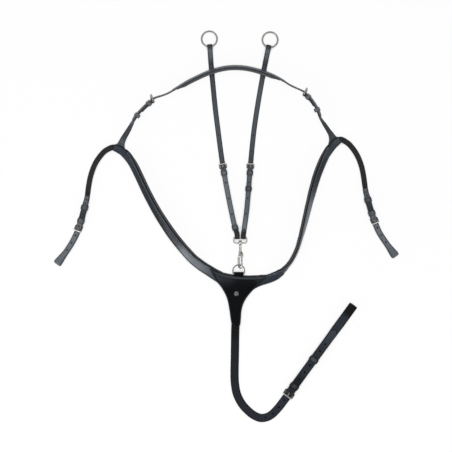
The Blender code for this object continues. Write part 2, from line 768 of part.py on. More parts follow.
    def billet_knots(self, tip_u, free_n):
        """Levels of the billet from its tip back through the buckle to the open strap."""
        stack = self.stack
        knots = [(tip_u, stack.over_legs), (leg_close_run, stack.over_legs), (0.0, stack.over_heel),
                 (stack.front_u, stack.under_front), (stack.front_u - lay_down_run, free_n)]
        return [(self.s(u), n) for u, n in knots]

    def fold_path(self, half):
        """Carrier leather round the heel bar, from the upper leg to the lower."""
        stack = self.stack
        upper = [(self.s(leg_close_run), stack.leg), (self.s(0), stack.fold_radius)]
        lower = [(s, -n) for s, n in reversed(upper)]
        start, sweep = (90, 180) if self.way > 0 else (90, -180)
        arc = fold(self.heel, 0.0, stack.fold_radius, start, sweep, half)
        return run(self.route, upper, half) + arc + run(self.route, lower, half)


# Straps


def breast_side(name, points, mirror):
    """Breast strap with its padded lining. mirror is +1 where the neck side is left of the route."""
    route = Route(points, breast_half, pad_thick + touch_gap)
    stop = route.length - chest_lap
    pad_places = route.between(pad_start, stop - touch_gap)
    path = []
    for s in route.between(0.0, pad_start)[:-1] + pad_places + route.between(stop, route.length):
        share = min(s / breast_end_taper, 1.0)
        path.append((s, breast_ply / 2, breast_end_half + (breast_half - breast_end_half) * share))
    place, axes = route.frame(0)
    node("breast_strap_" + name, strip(route, path, breast_ply), LEATHER, place, axes)
    rings = []
    for at in pad_places:
        thin = ease(min(max((at - stop + pad_thin_start) / (pad_thin_start - pad_thin_stop), 0.0), 1.0))
        thick = pad_thick + (backing_thick - pad_thick) * thin
        rings.append(pad_ring(route, at, -touch_gap, thick, breast_half, mirror * pad_overhang))
    place, axes = route.frame(pad_start)
    node("breast_pad_" + name, loft(rings), LINING, place, axes)
    return route


def pad_ring(route, s, top, thick, half, overhang):
    """Section of a pad with full round sides; overhang widens it on one side."""
    left, right = half + max(overhang, 0.0), half + max(-overhang, 0.0)
    bulge = thick * 0.32
    low = top - thick
    corners = ((left - bulge, top), (left, top - bulge), (left, low + bulge), (left - bulge, low),
               (bulge - right, low), (-right, low + bulge), (-right, top - bulge), (bulge - right, top))
    return [route.point(s, n, w) for w, n in corners]


def shoulder_and_wither(breast_routes):
    """Both shoulder straps, the padded wither strap between them and their buckles."""
    stack = Stack(WITHER_BUCKLE, light_ply, light_ply)
    side = wither_half + WITHER_BUCKLE["room"] + 2 * WITHER_BUCKLE["wire"]
    low = max(stack.reach, wither_pad_thick + touch_gap)
    tab_rise = pad_thick - elastic_thick - touch_gap - light_ply / 2 - stack.leg - low
    band_rise = light_ply
    left_tab = breast_routes[0].point(wither_tabs["left"][0], 0.0, breast_half - tab_tuck)
    right_tab = breast_routes[1].point(wither_tabs["right"][0], 0.0, tab_tuck - breast_half)
    between = [(x, y, roll, tab_rise * tab + band_rise * band) for x, y, roll, tab, band in wither_points]
    route = Route([(left_tab.x, left_tab.y, 0, tab_rise), *between, (right_tab.x, right_tab.y, 0, tab_rise)],
                  side, low)
    heels = [route.nearest(*spot) for spot in wither_heels]
    sides = [Buckled("wither_left", route, heels[0], -1, stack, wither_half),
             Buckled("wither_right", route, heels[1], 1, stack, wither_half)]
    band = [route.nearest(*spot) for spot in band_ends]
    strap_level = light_ply / 2

    knots = [sides[0].billet_knots(wither_tip, strap_level), sides[1].billet_knots(wither_tip, strap_level)]
    path = run(route, knots[0] + list(reversed(knots[1])), wither_half)
    widened = []
    for s, n, half in path:
        inside = min(s - band[0], band[1] - s)
        share = ease(min(max(inside / band_taper, 0.0), 1.0))
        widened.append((s, n, half + (band_half - half) * share))
    widened = list(reversed(tip(list(reversed(tip(widened, ROUND_TIP))), ROUND_TIP)))
    place, axes = route.frame(route.length / 2)
    strap = node("wither_strap", strip(route, widened, light_ply), STRAP, place, axes)
    cutters = []
    for buckled in sides:
        cutters.extend(buckled.hole_cutters(wither_hole_pitch, wither_hole_steps))
    shape_with(strap, together(cutters), "DIFFERENCE", "holes")

    rings = []
    first, last = band[0] + band_taper, band[1] - band_taper
    for s in [first, first + 6.0] + route.between(first + 12.0, last - 12.0) + [last - 6.0, last]:
        edge = min(s - first, last - s) / 12.0
        thick = wither_pad_thick * (0.55 + 0.45 * ease(min(edge, 1.0)))
        rings.append(pad_ring(route, s, -touch_gap, thick, band_half, 0.0))
    place, axes = route.frame(band[0] + band_taper)
    node("wither_pad", loft(rings), LINING, place, axes)

    for buckled, label, tab_s in ((sides[0], "left", 0.0), (sides[1], "right", route.length)):
        way, half = buckled.way, buckled.half
        tab_half = wither_tabs[label][1]
        tab = []
        for k in range(6):
            t = k / 6
            tab.append((tab_s + -way * tab_flare_run * t, stack.leg, half + (tab_half - half) * (1 - t) ** 2))
        closed = buckled.s(leg_close_run)
        body = run(route, [(tab_s - way * tab_flare_run, stack.leg), (closed, stack.leg)], half)
        tail = run(route, [(closed, -stack.leg), (buckled.s(shoulder_return), -stack.leg)], half)
        path = tab + body[:-1] + buckled.fold_path(half) + tail[1:]
        strap = node("shoulder_strap_" + label, strip(route, path, light_ply), STRAP, *route.frame(tab_s))
        buckled.carrier_slot(strap)
        buckled.frame_node()
        buckled.prong_node()
        buckled.keeper_node("wither_fixed_keeper_" + label, WITHER_BUCKLE["fixed_u"], wither_keeper)
        slide_u = wither_slide_left if label == "left" else wither_slide_right
        buckled.keeper_node("wither_sliding_keeper_" + label, slide_u, wither_keeper, slide_play)


def martingale_side(label, points, way_out):
    """Martingale strap from its ring to the snap: billet, chape, buckle and keepers."""
    stack = Stack(MARTINGALE_BUCKLE, light_ply, light_ply)
    half = martingale_half
    side = half + MARTINGALE_BUCKLE["room"] + 2 * MARTINGALE_BUCKLE["wire"]
    eye_x = snap_x + way_out * (half + eye_strap_gap / 2)
    end_rise = snap_z - stack.reach
    route = Route([*[(x, y, 0, rise * end_rise) for x, y, rise in points],
                   (eye_x, snap_y + eye_height, 0, end_rise)], side, stack.reach)
    buckled = Buckled("martingale_" + label, route, martingale_heel, 1, stack, half)
    sag = ring_mean_radius - math.sqrt(ring_mean_radius ** 2 - half ** 2)
    ring_fold = ring_wire_radius + sag / 2 + ring_play + light_ply / 2
    ring_n = ring_fold + light_ply / 2 - stack.reach
    table = light_ply / 2 - stack.reach
    eye_s = route.length
    tip_u = eye_s - martingale_tip_gap - martingale_heel

    lower = run(route, [(ring_return, table), (ring_rise_run, table), (0.0, ring_n - ring_fold)], half)
    arc = fold(0.0, ring_n, ring_fold, 270, -180, half)
    doubled = table + light_ply + touch_gap
    step = ring_return + ring_return_clear
    upper = [(0.0, ring_n + ring_fold), (ring_fall_run, doubled), (step, doubled),
             (step + ring_step_run, table)]
    path = lower + arc + run(route, upper + list(reversed(buckled.billet_knots(tip_u, table))), half)
    shape = strip(route, tip(path, ROUND_TIP), light_ply)
    billet = node("martingale_billet_" + label, shape, STRAP, *route.frame(0))
    pitch = (tip_u - martingale_last_hole - buckled.hole_u()) / martingale_hole_steps[-1]
    buckled.holes(billet, pitch, martingale_hole_steps)

    eye_radius = eye_wire_radius + eye_fold_slack + light_ply / 2
    open_s = eye_s - eye_open_run
    joint_s = (martingale_heel + eye_s) / 2
    heel, closed = buckled.heel, buckled.s(leg_close_run)
    lower = run(route, [(joint_s, -stack.leg), (closed, -stack.leg), (heel, -stack.fold_radius)], half)
    arc = fold(heel, 0.0, stack.fold_radius, 270, -180, half)
    knots = [(heel, stack.fold_radius), (closed, stack.leg), (open_s, stack.leg), (eye_s, eye_radius)]
    upper = run(route, knots, half)
    end_arc = fold(eye_s, 0.0, eye_radius, 90, -180, half)
    back = run(route, [(eye_s, -eye_radius), (open_s, -stack.leg), (joint_s + joint_gap, -stack.leg)], half)
    shape = strip(route, lower + arc + upper + end_arc + back, light_ply)
    chape = node("martingale_chape_" + label, shape, STRAP, *route.frame(heel))
    buckled.carrier_slot(chape)
    buckled.frame_node()
    buckled.prong_node()
    fixed_u = MARTINGALE_BUCKLE["fixed_u"]
    buckled.keeper_node("martingale_fixed_keeper_" + label, fixed_u, martingale_keeper)
    share = martingale_slide_left if label == "left" else martingale_slide_right
    sewn_end = fixed_u + martingale_keeper
    slide_u = sewn_end + (tip_u - martingale_keeper - sewn_end) * share
    buckled.keeper_node("martingale_sliding_keeper_" + label, slide_u, martingale_keeper, slide_play)

    place, (along, across, off) = route.frame(0)
    pivot = route.point(0, ring_n)
    centre = pivot + along * (sag / 2 - ring_mean_radius)
    points, ups = [], []
    for k in range(28):
        angle = 2 * math.pi * k / 28
        points.append(centre + (along * math.cos(angle) + across * math.sin(angle)) * ring_mean_radius)
        ups.append(off)
    shape = tube(points, ups, ring_wire_radius, 8, closed=True)
    node("martingale_ring_" + label, shape, STEEL, pivot, (along, across, off), smooth=True)


def saddle_side(label, points, bar_spot, breast_route, lean_way):
    """Elastic, looped saddle strap, buckle chape, buckle and keepers of one side."""
    stack = Stack(SADDLE_BUCKLE, light_ply, light_ply, core=elastic_thick, under=light_ply)
    half = saddle_half
    side = half + SADDLE_BUCKLE["room"] + 2 * SADDLE_BUCKLE["wire"]
    start_rise = pad_thick - elastic_thick / 2 - stack.reach
    start = breast_route.point(elastic_tuck)
    route = Route([(start.x, start.y, 0, start_rise),
                   *[(x, y, lean_way * roll, start_rise * share) for x, y, roll, share in points]],
                  side, stack.reach)
    heel = route.nearest(*bar_spot) + stack.front_u
    buckled = Buckled("saddle_" + label, route, heel, -1, stack, half)

    path = run(route, [(0.0, 0.0), (buckled.s(saddle_core_end), 0.0)], elastic_half)
    place, axes = route.frame(0)
    node("elastic_" + label, strip(route, path, elastic_thick), WOVEN, place, axes)

    radius = (saddle_gap + light_ply) / 2
    fold_s = route.length - radius - light_ply / 2
    fold_n = stack.under_level + radius
    lower = run(route, [(buckled.s(saddle_chape), stack.under_level), (fold_s, stack.under_level)], half)
    arc = fold(fold_s, fold_n, radius, 270, 180, half)
    open_s = buckled.s(stack.front_u - saddle_rise_run)
    knots = [(fold_s, fold_n + radius), (open_s, fold_n + radius),
             (buckled.s(stack.front_u), stack.under_front),
             (heel, stack.over_heel), (buckled.s(leg_close_run), stack.over_legs),
             (buckled.s(saddle_tip), stack.over_legs)]
    path = tip(lower + arc + run(route, knots, half), ROUND_TIP)
    strap = node("saddle_strap_" + label, strip(route, path, light_ply), STRAP, *route.frame(heel))
    buckled.holes(strap, saddle_hole_pitch, saddle_hole_steps, saddle_hole_floor)

    closed = buckled.s(leg_close_run)
    upper_leg = run(route, [(buckled.s(saddle_chape), stack.leg), (closed, stack.leg)], half)
    lower_leg = [(s, -n, w) for s, n, w in reversed(upper_leg)]
    shape = strip(route, upper_leg[:-1] + buckled.fold_path(half) + lower_leg[1:], light_ply)
    chape = node("saddle_chape_" + label, shape, STRAP, *route.frame(heel))
    buckled.carrier_slot(chape)
    buckled.frame_node()
    buckled.prong_node()
    buckled.keeper_node("saddle_fixed_keeper_" + label, SADDLE_BUCKLE["fixed_u"], saddle_keeper)
    buckled.keeper_node("saddle_sliding_keeper_" + label, saddle_slide, saddle_keeper, slide_play)


def girth_strap():
    """Girth strap from the chest piece, with its buckle, loop and keepers."""
    stack = Stack(GIRTH_BUCKLE, girth_loop_ply, girth_ply)
    half = girth_half
    side = half + GIRTH_BUCKLE["room"] + 2 * GIRTH_BUCKLE["wire"]
    route = Route([(x, y, 0, 0) for x, y in ((0.0, -girth_start), *girth_points)], side, stack.reach)
    heel = route.nearest(*girth_bar_spot) - stack.front_u
    buckled = Buckled("girth", route, heel, 1, stack, half)
    held = backing_thick + touch_gap + girth_ply / 2 - stack.reach
    table = girth_ply / 2 - stack.reach
    knots = [(0.0, held), (girth_held, held), (girth_held + lay_down_run, table)]
    path = run(route, knots + list(reversed(buckled.billet_knots(girth_tip, table))), half)
    strap = node("girth_strap", strip(route, tip(path, ROUND_TIP), girth_ply), LEATHER, *route.frame(0))
    buckled.holes(strap, girth_hole_pitch, girth_hole_steps)

    radius = (girth_gap + girth_loop_ply) / 2
    fold_s = route.length - radius - girth_loop_ply / 2
    open_s = route.length - girth_open_run
    joint_s = heel + girth_loop_joint
    closed = buckled.s(leg_close_run)
    lower = run(route, [(joint_s, -stack.leg), (closed, -stack.leg), (heel, -stack.fold_radius)], half)
    arc = fold(heel, 0.0, stack.fold_radius, 270, -180, half)
    top = radius * 2 - stack.leg
    knots = [(heel, stack.fold_radius), (closed, stack.leg), (open_s, stack.leg),
             (open_s + girth_rise_run, top), (fold_s, top)]
    upper = run(route, knots, half)
    end_arc = fold(fold_s, top - radius, radius, 90, -180, half)
    back = run(route, [(fold_s, -stack.leg), (joint_s + joint_gap, -stack.leg)], half)
    shape = strip(route, lower + arc + upper + end_arc + back, girth_loop_ply)
    loop = node("girth_loop", shape, LEATHER, *route.frame(heel))
    buckled.carrier_slot(loop)
    buckled.frame_node()
    buckled.prong_node()
    buckled.keeper_node("girth_fixed_keeper", GIRTH_BUCKLE["fixed_u"], girth_keeper)
    buckled.keeper_node("girth_sliding_keeper", girth_slide, girth_keeper, slide_play)


# Chest piece


def chest_edge(start, end):
    """Lower edge of a chest plate from its right end round the tail to its left end."""
    right_edge = through([start, *chest_right, (0.0, -chest_tail)], 3)
    left_edge = through([(0.0, -chest_tail), *chest_left, end], 3)
    return right_edge[:-1] + left_edge


def chest_piece(routes):
    """Backing, filler and front plate, with the plain stud and the D ring's chape."""
    strap_low = backing_thick + touch_gap
    strap_high = strap_low + breast_ply
    front_low = strap_high + touch_gap
    left, right = routes
    at_left, at_right = left.length - backing_lap, right.length - backing_lap
    neck_side, low_side = breast_half + pad_overhang, breast_half + 0.5
    outline = through([left.point(at_left, 0, neck_side).to_2d(), *backing_neckline,
                       right.point(at_right, 0, -neck_side).to_2d()], 4)
    outline += chest_edge(right.point(at_right, 0, low_side).to_2d(),
                          left.point(at_left, 0, -low_side).to_2d())
    node("chest_backing", prism(outline, 0.0, backing_thick), LINING, (0, 0, 0))
    outline = through(front_neckline, 3) + chest_edge(front_right_end, front_left_end)
    shape = prism(outline, front_low, front_low + front_thick)
    front = node("chest_front", shape, LEATHER, (0, 0, front_low))
    up, out = Vector((0, 0, 1)), Vector((1, 0, 0))
    centre = Vector((*stud_place, 0.0))
    hole = turned(centre, up, out, ((front_low - 1, stud_post_radius + touch_gap),
                                    (front_low + front_thick + 1, stud_post_radius + touch_gap)), 12)
    shape_with(front, hole, "DIFFERENCE", "stud_hole")
    head_low = front_low + front_thick + touch_gap
    burr_high = front_low - touch_gap
    profile = [(burr_high - stud_burr_thick, stud_burr_radius), (burr_high, stud_burr_radius),
               (burr_high + 0.01, stud_post_radius), (head_low - 0.01, stud_post_radius),
               (head_low, stud_radius)]
    for k in range(1, 5):
        angle = math.radians(20 * k)
        profile.append((head_low + 0.5 + stud_dome * math.sin(angle), stud_radius * math.cos(angle)))
    shape = turned(centre, up, out, profile, 16)
    node("chest_stud", shape, STEEL, (*stud_place, head_low), smooth=True)
    filler = node("chest_filler", prism(filler_outline, strap_low, strap_high), LINING, (0, 0, strap_low))
    burr_hole = turned(centre, up, out, ((strap_low - 1, stud_burr_radius + touch_gap),
                                         (strap_high + 1, stud_burr_radius + touch_gap)), 16)
    shape_with(filler, burr_hole, "DIFFERENCE", "burr_hole")

    ply = (breast_ply - touch_gap) / 2
    bar_z = strap_low + breast_ply / 2
    bar = Route([(d_centre_x, d_bar_y, 0, bar_z), (d_centre_x, d_bar_y - d_chape_length, 0, bar_z)], 0.0, 0.0)
    radius = d_wire_radius + fold_slack + ply / 2
    leg = (ply + touch_gap) / 2
    lower = run(bar, [(d_chape_length, -leg), (d_chape_close, -leg), (0.0, -radius)], d_strap_half)
    upper = run(bar, [(0.0, radius), (d_chape_close, leg), (d_chape_length, leg)], d_strap_half)
    path = lower + fold(0.0, 0.0, radius, 270, -180, d_strap_half) + upper
    pivot = Vector((d_centre_x, d_bar_y, bar_z))
    node("d_ring_chape", strip(bar, path, ply), LEATHER, pivot)

    rise = Vector((0, math.cos(math.radians(d_lean)), math.sin(math.radians(d_lean))))
    right = Vector((1, 0, 0))
    corner = 2 * d_wire_radius
    spots = []
    for k in range(4):
        angle = math.radians(-180 + 30 * k)
        spots.append((corner - d_half + corner * math.cos(angle), corner + corner * math.sin(angle)))
    for k in range(4):
        angle = math.radians(-90 + 30 * k)
        spots.append((d_half - corner + corner * math.cos(angle), corner + corner * math.sin(angle)))
    for k in range(13):
        angle = math.radians(15 * k)
        spots.append((d_half * math.cos(angle), d_side + d_half * math.sin(angle)))
    points = [pivot + right * x + rise * y for x, y in spots]
    shape = tube(points, [right.cross(rise)] * len(points), d_wire_radius, 8, closed=True)
    node("d_ring", shape, STEEL, pivot, (right, rise, right.cross(rise)), smooth=True)


# Snap hook


def snap():
    """Swivel eye, hook body, gate and gate pin."""
    swivel = Vector((snap_x, snap_y, snap_z))
    down, up = Vector((0, -1, 0)), Vector((0, 0, 1))
    right = Vector((1, 0, 0))
    spots = []
    for cx, cy, start in ((eye_half - eye_corner, eye_height - eye_corner, 0),
                          (eye_corner - eye_half, eye_height - eye_corner, 90),
                          (eye_corner - eye_half, eye_corner, 180), (eye_half - eye_corner, eye_corner, 270)):
        for k in range(4):
            angle = math.radians(start + 30 * k)
            spots.append((cx + eye_corner * math.cos(angle), cy + eye_corner * math.sin(angle)))
    points = [swivel + right * x - down * y for x, y in spots]
    shape = tube(points, [up] * len(points), eye_wire_radius, 8, closed=True)
    eye = node("snap_eye", shape, STEEL, swivel, smooth=True)
    boss = []
    for k in range(9):
        angle = math.radians(boss_cut * (k / 4 - 1))
        along = boss_half_length * math.sin(angle) / math.sin(math.radians(boss_cut))
        boss.append((along, boss_radius * math.cos(angle)))
    shape_with(eye, turned(swivel, down, right, boss, 16), "UNION", "boss")
    bore = ((-boss_half_length - 2, pin_radius + pin_play), (boss_half_length + 2, pin_radius + pin_play))
    shape_with(eye, turned(swivel, down, right, bore, 12), "DIFFERENCE", "bore")

    turn = math.radians(snap_turn)
    across = Vector((-math.cos(turn), 0, -math.sin(turn)))
    face = across.cross(down)

    def spot(a, b, h=0.0):
        return swivel + across * a + down * b + face * h

    head = boss_half_length + pin_play
    profile = [(-head - pin_head_thick, pin_head_radius * 0.7),
               (-head - pin_head_thick * 0.6, pin_head_radius), (-head, pin_head_radius),
               (-head + 0.01, pin_radius), (shank_start - 0.01, pin_radius),
               (shank_start, shank_radius * 0.85), (shank_start + 3, shank_radius), (shank_end, shank_radius)]
    shape = turned(swivel, down, face, profile, 14)
    body = node("snap_body", shape, STEEL, swivel, (across, down, face), smooth=True)
    way = through([(0.0, shank_end - 4), (1.2, shank_end + 2), (hook_half * 0.72, hook_bend_start - 3),
                   (hook_half, hook_bend_start + 3), (hook_half, hook_bowl)], 3)
    way = [(p.x, p.y) for p in way]
    for k in range(1, 9):
        angle = math.radians(22.5 * k)
        way.append((hook_half * math.cos(angle), hook_bowl + hook_half * math.sin(angle)))
    way.append((-hook_half, hook_tip))
    radii = [hook_wire_radius * (0.9 if i == 0 else 1.0) for i in range(len(way))]
    shape_with(body, tube([spot(a, b) for a, b in way], [face] * len(way), radii, 8), "UNION", "hook")
    inner = gate_thick / 2 + gate_slot_play
    cheek = [(2.0, gate_pivot[1] - 9), (-1.0, gate_pivot[1] - 9)]
    for k in range(7):
        angle = math.radians(-120 - 30 * k)
        cheek.append((gate_pivot[0] + gate_eye_radius * math.cos(angle),
                      gate_pivot[1] + gate_eye_radius * math.sin(angle)))
    cheek.append((2.0, gate_pivot[1] + gate_eye_radius))
    plates = []
    for low, high in ((inner, inner + gate_cheek), (-inner - gate_cheek, -inner)):
        plates.append(loft([[spot(a, b, h) for a, b in cheek] for h in (low, high)]))
    shape_with(body, together(plates), "UNION", "cheeks")
    half = inner + gate_cheek
    pin_spot = spot(*gate_pivot)
    cut = turned(pin_spot, face, down, ((-half - 1, gate_pin_radius + gate_pin_play),
                                        (half + 1, gate_pin_radius + gate_pin_play)), 10)
    shape_with(body, cut, "DIFFERENCE", "pin_hole")
    ends = ((-half - 0.4, gate_pin_radius), (half + 0.4, gate_pin_radius))
    shape = turned(pin_spot, face, down, ends, 10)
    node("snap_gate_pin", shape, STEEL, pin_spot, (across, down, face), parent=body, smooth=True)

    lever = []
    for k in range(8):
        angle = math.radians(-200 + 220 / 7 * k)
        lever.append((gate_pivot[0] + (gate_eye_radius - 0.3) * math.cos(angle),
                      gate_pivot[1] + (gate_eye_radius - 0.3) * math.sin(angle)))
    low_end = hook_tip - gate_tip_gap
    lever += [(gate_half - hook_half + 0.6, gate_pivot[1] + 9), (gate_half - hook_half, low_end - 5),
              (gate_half - hook_half, low_end), (-gate_half - hook_half, low_end),
              (-gate_half - hook_half, gate_pivot[1] + 9)]
    blank = loft([[spot(a, b, h) for a, b in lever] for h in (-gate_thick / 2, gate_thick / 2)])
    gate = node("snap_gate", blank, STEEL, pin_spot, (across, down, face), parent=body, smooth=True)
    profile = ((-knob_thick / 2, knob_radius * 0.7), (-knob_thick / 4, knob_radius),
               (knob_thick / 4, knob_radius), (knob_thick / 2, knob_radius * 0.7))
    knob = turned(spot(*knob_place), face, down, profile, 10)
    shape_with(gate, knob, "UNION", "knob")
    shape_with(gate, cut, "DIFFERENCE", "pin_hole")


def main():
    """Build every piece of the breastplate."""
    for obj in list(bpy.data.objects):
        bpy.data.objects.remove(obj)
    global root
    root = bpy.data.objects.new("hunting_breastplate", None)
    bpy.context.collection.objects.link(root)
    left = breast_side("left", breast_left_points, 1)
    right = breast_side("right", breast_right_points, -1)
    chest_piece((left, right))
    shoulder_and_wither((left, right))
    saddle_side("left", saddle_left_points, saddle_left_bar, left, 1)
    saddle_side("right", saddle_right_points, saddle_right_bar, right, -1)
    martingale_side("left", martingale_left_points, -1)
    martingale_side("right", martingale_right_points, 1)
    girth_strap()
    snap()


main()
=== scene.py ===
import bisect
import json
import math

import bmesh
import bpy
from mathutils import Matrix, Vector
from mathutils.geometry import delaunay_2d_cdt

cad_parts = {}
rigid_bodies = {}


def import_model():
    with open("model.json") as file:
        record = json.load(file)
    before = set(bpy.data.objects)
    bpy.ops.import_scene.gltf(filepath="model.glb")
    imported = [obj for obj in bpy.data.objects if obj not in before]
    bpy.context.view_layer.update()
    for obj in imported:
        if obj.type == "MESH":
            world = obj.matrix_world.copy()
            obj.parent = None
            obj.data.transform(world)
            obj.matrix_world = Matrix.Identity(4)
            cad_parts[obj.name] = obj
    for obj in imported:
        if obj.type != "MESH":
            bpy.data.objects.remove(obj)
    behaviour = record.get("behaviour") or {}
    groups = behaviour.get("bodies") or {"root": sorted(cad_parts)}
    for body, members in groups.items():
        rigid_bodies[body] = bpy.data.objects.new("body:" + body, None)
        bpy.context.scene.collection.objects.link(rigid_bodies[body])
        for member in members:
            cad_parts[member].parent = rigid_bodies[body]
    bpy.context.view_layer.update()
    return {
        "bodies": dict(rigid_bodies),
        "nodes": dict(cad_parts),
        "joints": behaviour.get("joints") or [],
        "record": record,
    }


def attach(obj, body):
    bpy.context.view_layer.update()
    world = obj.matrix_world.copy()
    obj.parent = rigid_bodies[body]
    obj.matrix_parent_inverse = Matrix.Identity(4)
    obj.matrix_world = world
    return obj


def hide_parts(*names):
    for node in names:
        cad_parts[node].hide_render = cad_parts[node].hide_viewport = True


# Hunting breastplate with a running martingale, laid out flat on a pale floor.
# Shapes are worked out in millimetres in the CAD frame and become metres when a mesh is made.

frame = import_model()
bodyOf = {node: body for body, nodes in frame["record"]["behaviour"]["bodies"].items() for node in nodes}
mm = 0.001
print("frame loaded,", len(frame["nodes"]), "CAD nodes")


# Node helpers


def place(tree, kind, values=(), links=(), **settings):
    # a node with its settings, socket values and incoming links
    made = tree.nodes.new(kind)
    for key, value in settings.items():
        setattr(made, key, value)
    for socket, value in values:
        made.inputs[socket].default_value = value
    for socket, source in links:
        tree.links.new(source, made.inputs[socket])
    return made


def feed(tree, made, sources):
    # each source is a number, a colour or another node's output
    for socket, value in sources:
        if isinstance(value, (int, float)):
            made.inputs[socket].default_value = value
        elif isinstance(value, tuple):
            made.inputs[socket].default_value = (*value, 1.0)
        else:
            tree.links.new(value, made.inputs[socket])


def math2(tree, operation, a, b=0.0, clamp=False):
    made = place(tree, "ShaderNodeMath", operation=operation, use_clamp=clamp)
    feed(tree, made, ((0, a), (1, b)))
    return made.outputs[0]


def ramp(tree, value, low, high, atLow=0.0, atHigh=1.0):
    # low to high becomes atLow to atHigh, and beyond them it stays
    return place(tree, "ShaderNodeMapRange", (("From Min", low), ("From Max", high), ("To Min", atLow),
                                              ("To Max", atHigh)), (("Value", value),)).outputs["Result"]


def blendColour(tree, fac, a, b):
    made = place(tree, "ShaderNodeMix", data_type="RGBA")
    feed(tree, made, ((0, fac), (6, a), (7, b)))
    return made.outputs[2]


def noise(tree, spot, scale, detail, roughness=0.5, distortion=0.0):
    return place(tree, "ShaderNodeTexNoise", (("Scale", scale), ("Detail", detail), ("Roughness", roughness),
                                              ("Distortion", distortion)), (("Vector", spot),)).outputs["Fac"]


def mask(tree, name):
    return place(tree, "ShaderNodeAttribute", attribute_name=name).outputs["Fac"]


def openSky(tree, reach, samples):
    return place(tree, "ShaderNodeAmbientOcclusion", (("Distance", reach),), samples=samples).outputs["AO"]


def seenShare(tree):
    # 1 for what the camera sees, directly or in metal
    path = place(tree, "ShaderNodeLightPath").outputs
    total = path["Is Camera Ray"]
    for name in ("Is Glossy Ray", "Is Transmission Ray"):
        total = math2(tree, "ADD", total, path[name], clamp=True)
    return total


# Camera, floor and lights

studio = {
    "cameraHeight": 6.0, "fieldWidth": 452 * 0.0026, "middle": (-0.02704, 0.1755), "sensor": 36.0, "farEnd": 100.0,
    "floorHalf": 5.0, "floorDrop": 0.0004, "floorColour": (0.9, 0.9, 0.9), "floorRough": 0.9,
    "floorGlow": 0.93,                    # share of plain white that the camera sees in the floor
    # shutReach and floorShut set that painted shade on the floor: the occlusion reach, and the open sky share from dark
    # to glowing
    "shutReach": 0.012,
    "floorShut": (0.35, 0.72),            # open sky share at which a hidden spot of floor stays dark, or glows
    "ambient": 0.62,
    "lamps": (                            # name, place, size, power, colour
        ("lampLowLeft", (-1.18, -0.8, 0.6), 0.6, 12.0, (0.97, 0.985, 1.0)),
        ("lampLowRight", (1.1, -0.85, 0.6), 0.6, 6.0, (1.0, 0.985, 0.965)),
        ("lampTop", (-0.25, 0.9, 2.1), 1.6, 12.0, (1.0, 1.0, 1.0)),
    ),
}


def setUpCamera(scene):
    camera = bpy.data.objects.new("camera", bpy.data.cameras.new("camera"))
    scene.collection.objects.link(camera)
    camera.location = (*studio["middle"], studio["cameraHeight"])
    camera.data.sensor_width = studio["sensor"]
    camera.data.lens = studio["sensor"] * studio["cameraHeight"] / studio["fieldWidth"]
    camera.data.clip_end = studio["farEnd"]
    scene.camera = camera
    scene.view_settings.view_transform = "Standard"


def setUpFloor(scene):
    half = studio["floorHalf"]
    mesh = bpy.data.meshes.new("floor")
    mesh.from_pydata([(-half, -half, 0), (half, -half, 0), (half, half, 0), (-half, half, 0)], [], [(0, 1, 2, 3)])
    floor = bpy.data.objects.new("floor", mesh)
    scene.collection.objects.link(floor)
    floor.location = (0, 0, -studio["floorDrop"])
    paint = bpy.data.materials.new("floorPaint")
    paint.use_nodes = True
    floor.data.materials.append(paint)
    tree = paint.node_tree
    shader = tree.nodes["Principled BSDF"]
    shader.inputs["Base Color"].default_value = (*studio["floorColour"], 1.0)
    shader.inputs["Roughness"].default_value = studio["floorRough"]
    shader.inputs["Specular IOR Level"].default_value = 0.0
    glow = place(tree, "ShaderNodeEmission", (("Strength", 1.0),))
    # painted shade: ambient occlusion cuts the floor's glow, so a spot of floor at the bottom of a punched hole or
    # close under a strap stays dark
    lit = ramp(tree, openSky(tree, studio["shutReach"], 8), *studio["floorShut"])
    share = math2(tree, "MULTIPLY", math2(tree, "MULTIPLY", seenShare(tree), studio["floorGlow"]), lit)
    mix = place(tree, "ShaderNodeMixShader", (), (("Fac", share), (1, shader.outputs[0]), (2, glow.outputs[0])))
    tree.links.new(mix.outputs[0], tree.nodes["Material Output"].inputs["Surface"])


def setUpLights(scene):
    world = bpy.data.worlds.new("studioWorld")
    world.use_nodes = True
    scene.world = world
    tree = world.node_tree
    background = tree.nodes["Background"]
    background.inputs["Color"].default_value = (1.0, 1.0, 1.0, 1.0)
    strength = ramp(tree, seenShare(tree), 0.0, 1.0, studio["ambient"], 1.0)
    tree.links.new(strength, background.inputs["Strength"])
    for name, spot, size, power, colour in studio["lamps"]:
        lamp = bpy.data.lights.new(name, "AREA")
        lamp.shape, lamp.size, lamp.energy, lamp.color = "SQUARE", size, power, colour
        obj = bpy.data.objects.new(name, lamp)
        obj.location = spot
        aim = Vector((*studio["middle"], 0.0)) - Vector(spot)
        obj.rotation_euler = aim.to_track_quat("-Z", "Y").to_euler()
        scene.collection.objects.link(obj)


for setUp in (setUpCamera, setUpFloor, setUpLights):
    setUp(bpy.context.scene)
print("camera, floor and lights set")


# Finishes


def newGroup(name, inputs):
    # puts out colour, roughness and height; a given tuple makes a colour input, a number a plain one
    group = bpy.data.node_groups.new(name, "ShaderNodeTree")
    for label, value in inputs.items():
        coloured = isinstance(value, tuple)
        kind = "NodeSocketColor" if coloured else "NodeSocketFloat"
        socket = group.interface.new_socket(label, in_out="INPUT", socket_type=kind)
        socket.default_value = (*value, 1.0) if coloured else value
    for label in ("Colour", "Roughness", "Height"):
        kind = "NodeSocketColor" if label == "Colour" else "NodeSocketFloat"
        group.interface.new_socket(label, in_out="OUTPUT", socket_type=kind)
    return group, group.nodes.new("NodeGroupInput").outputs


def giveOut(tree, colour, rough, height):
    feed(tree, tree.nodes.new("NodeGroupOutput"), (("Colour", colour), ("Roughness", rough), ("Height", height)))
    return tree
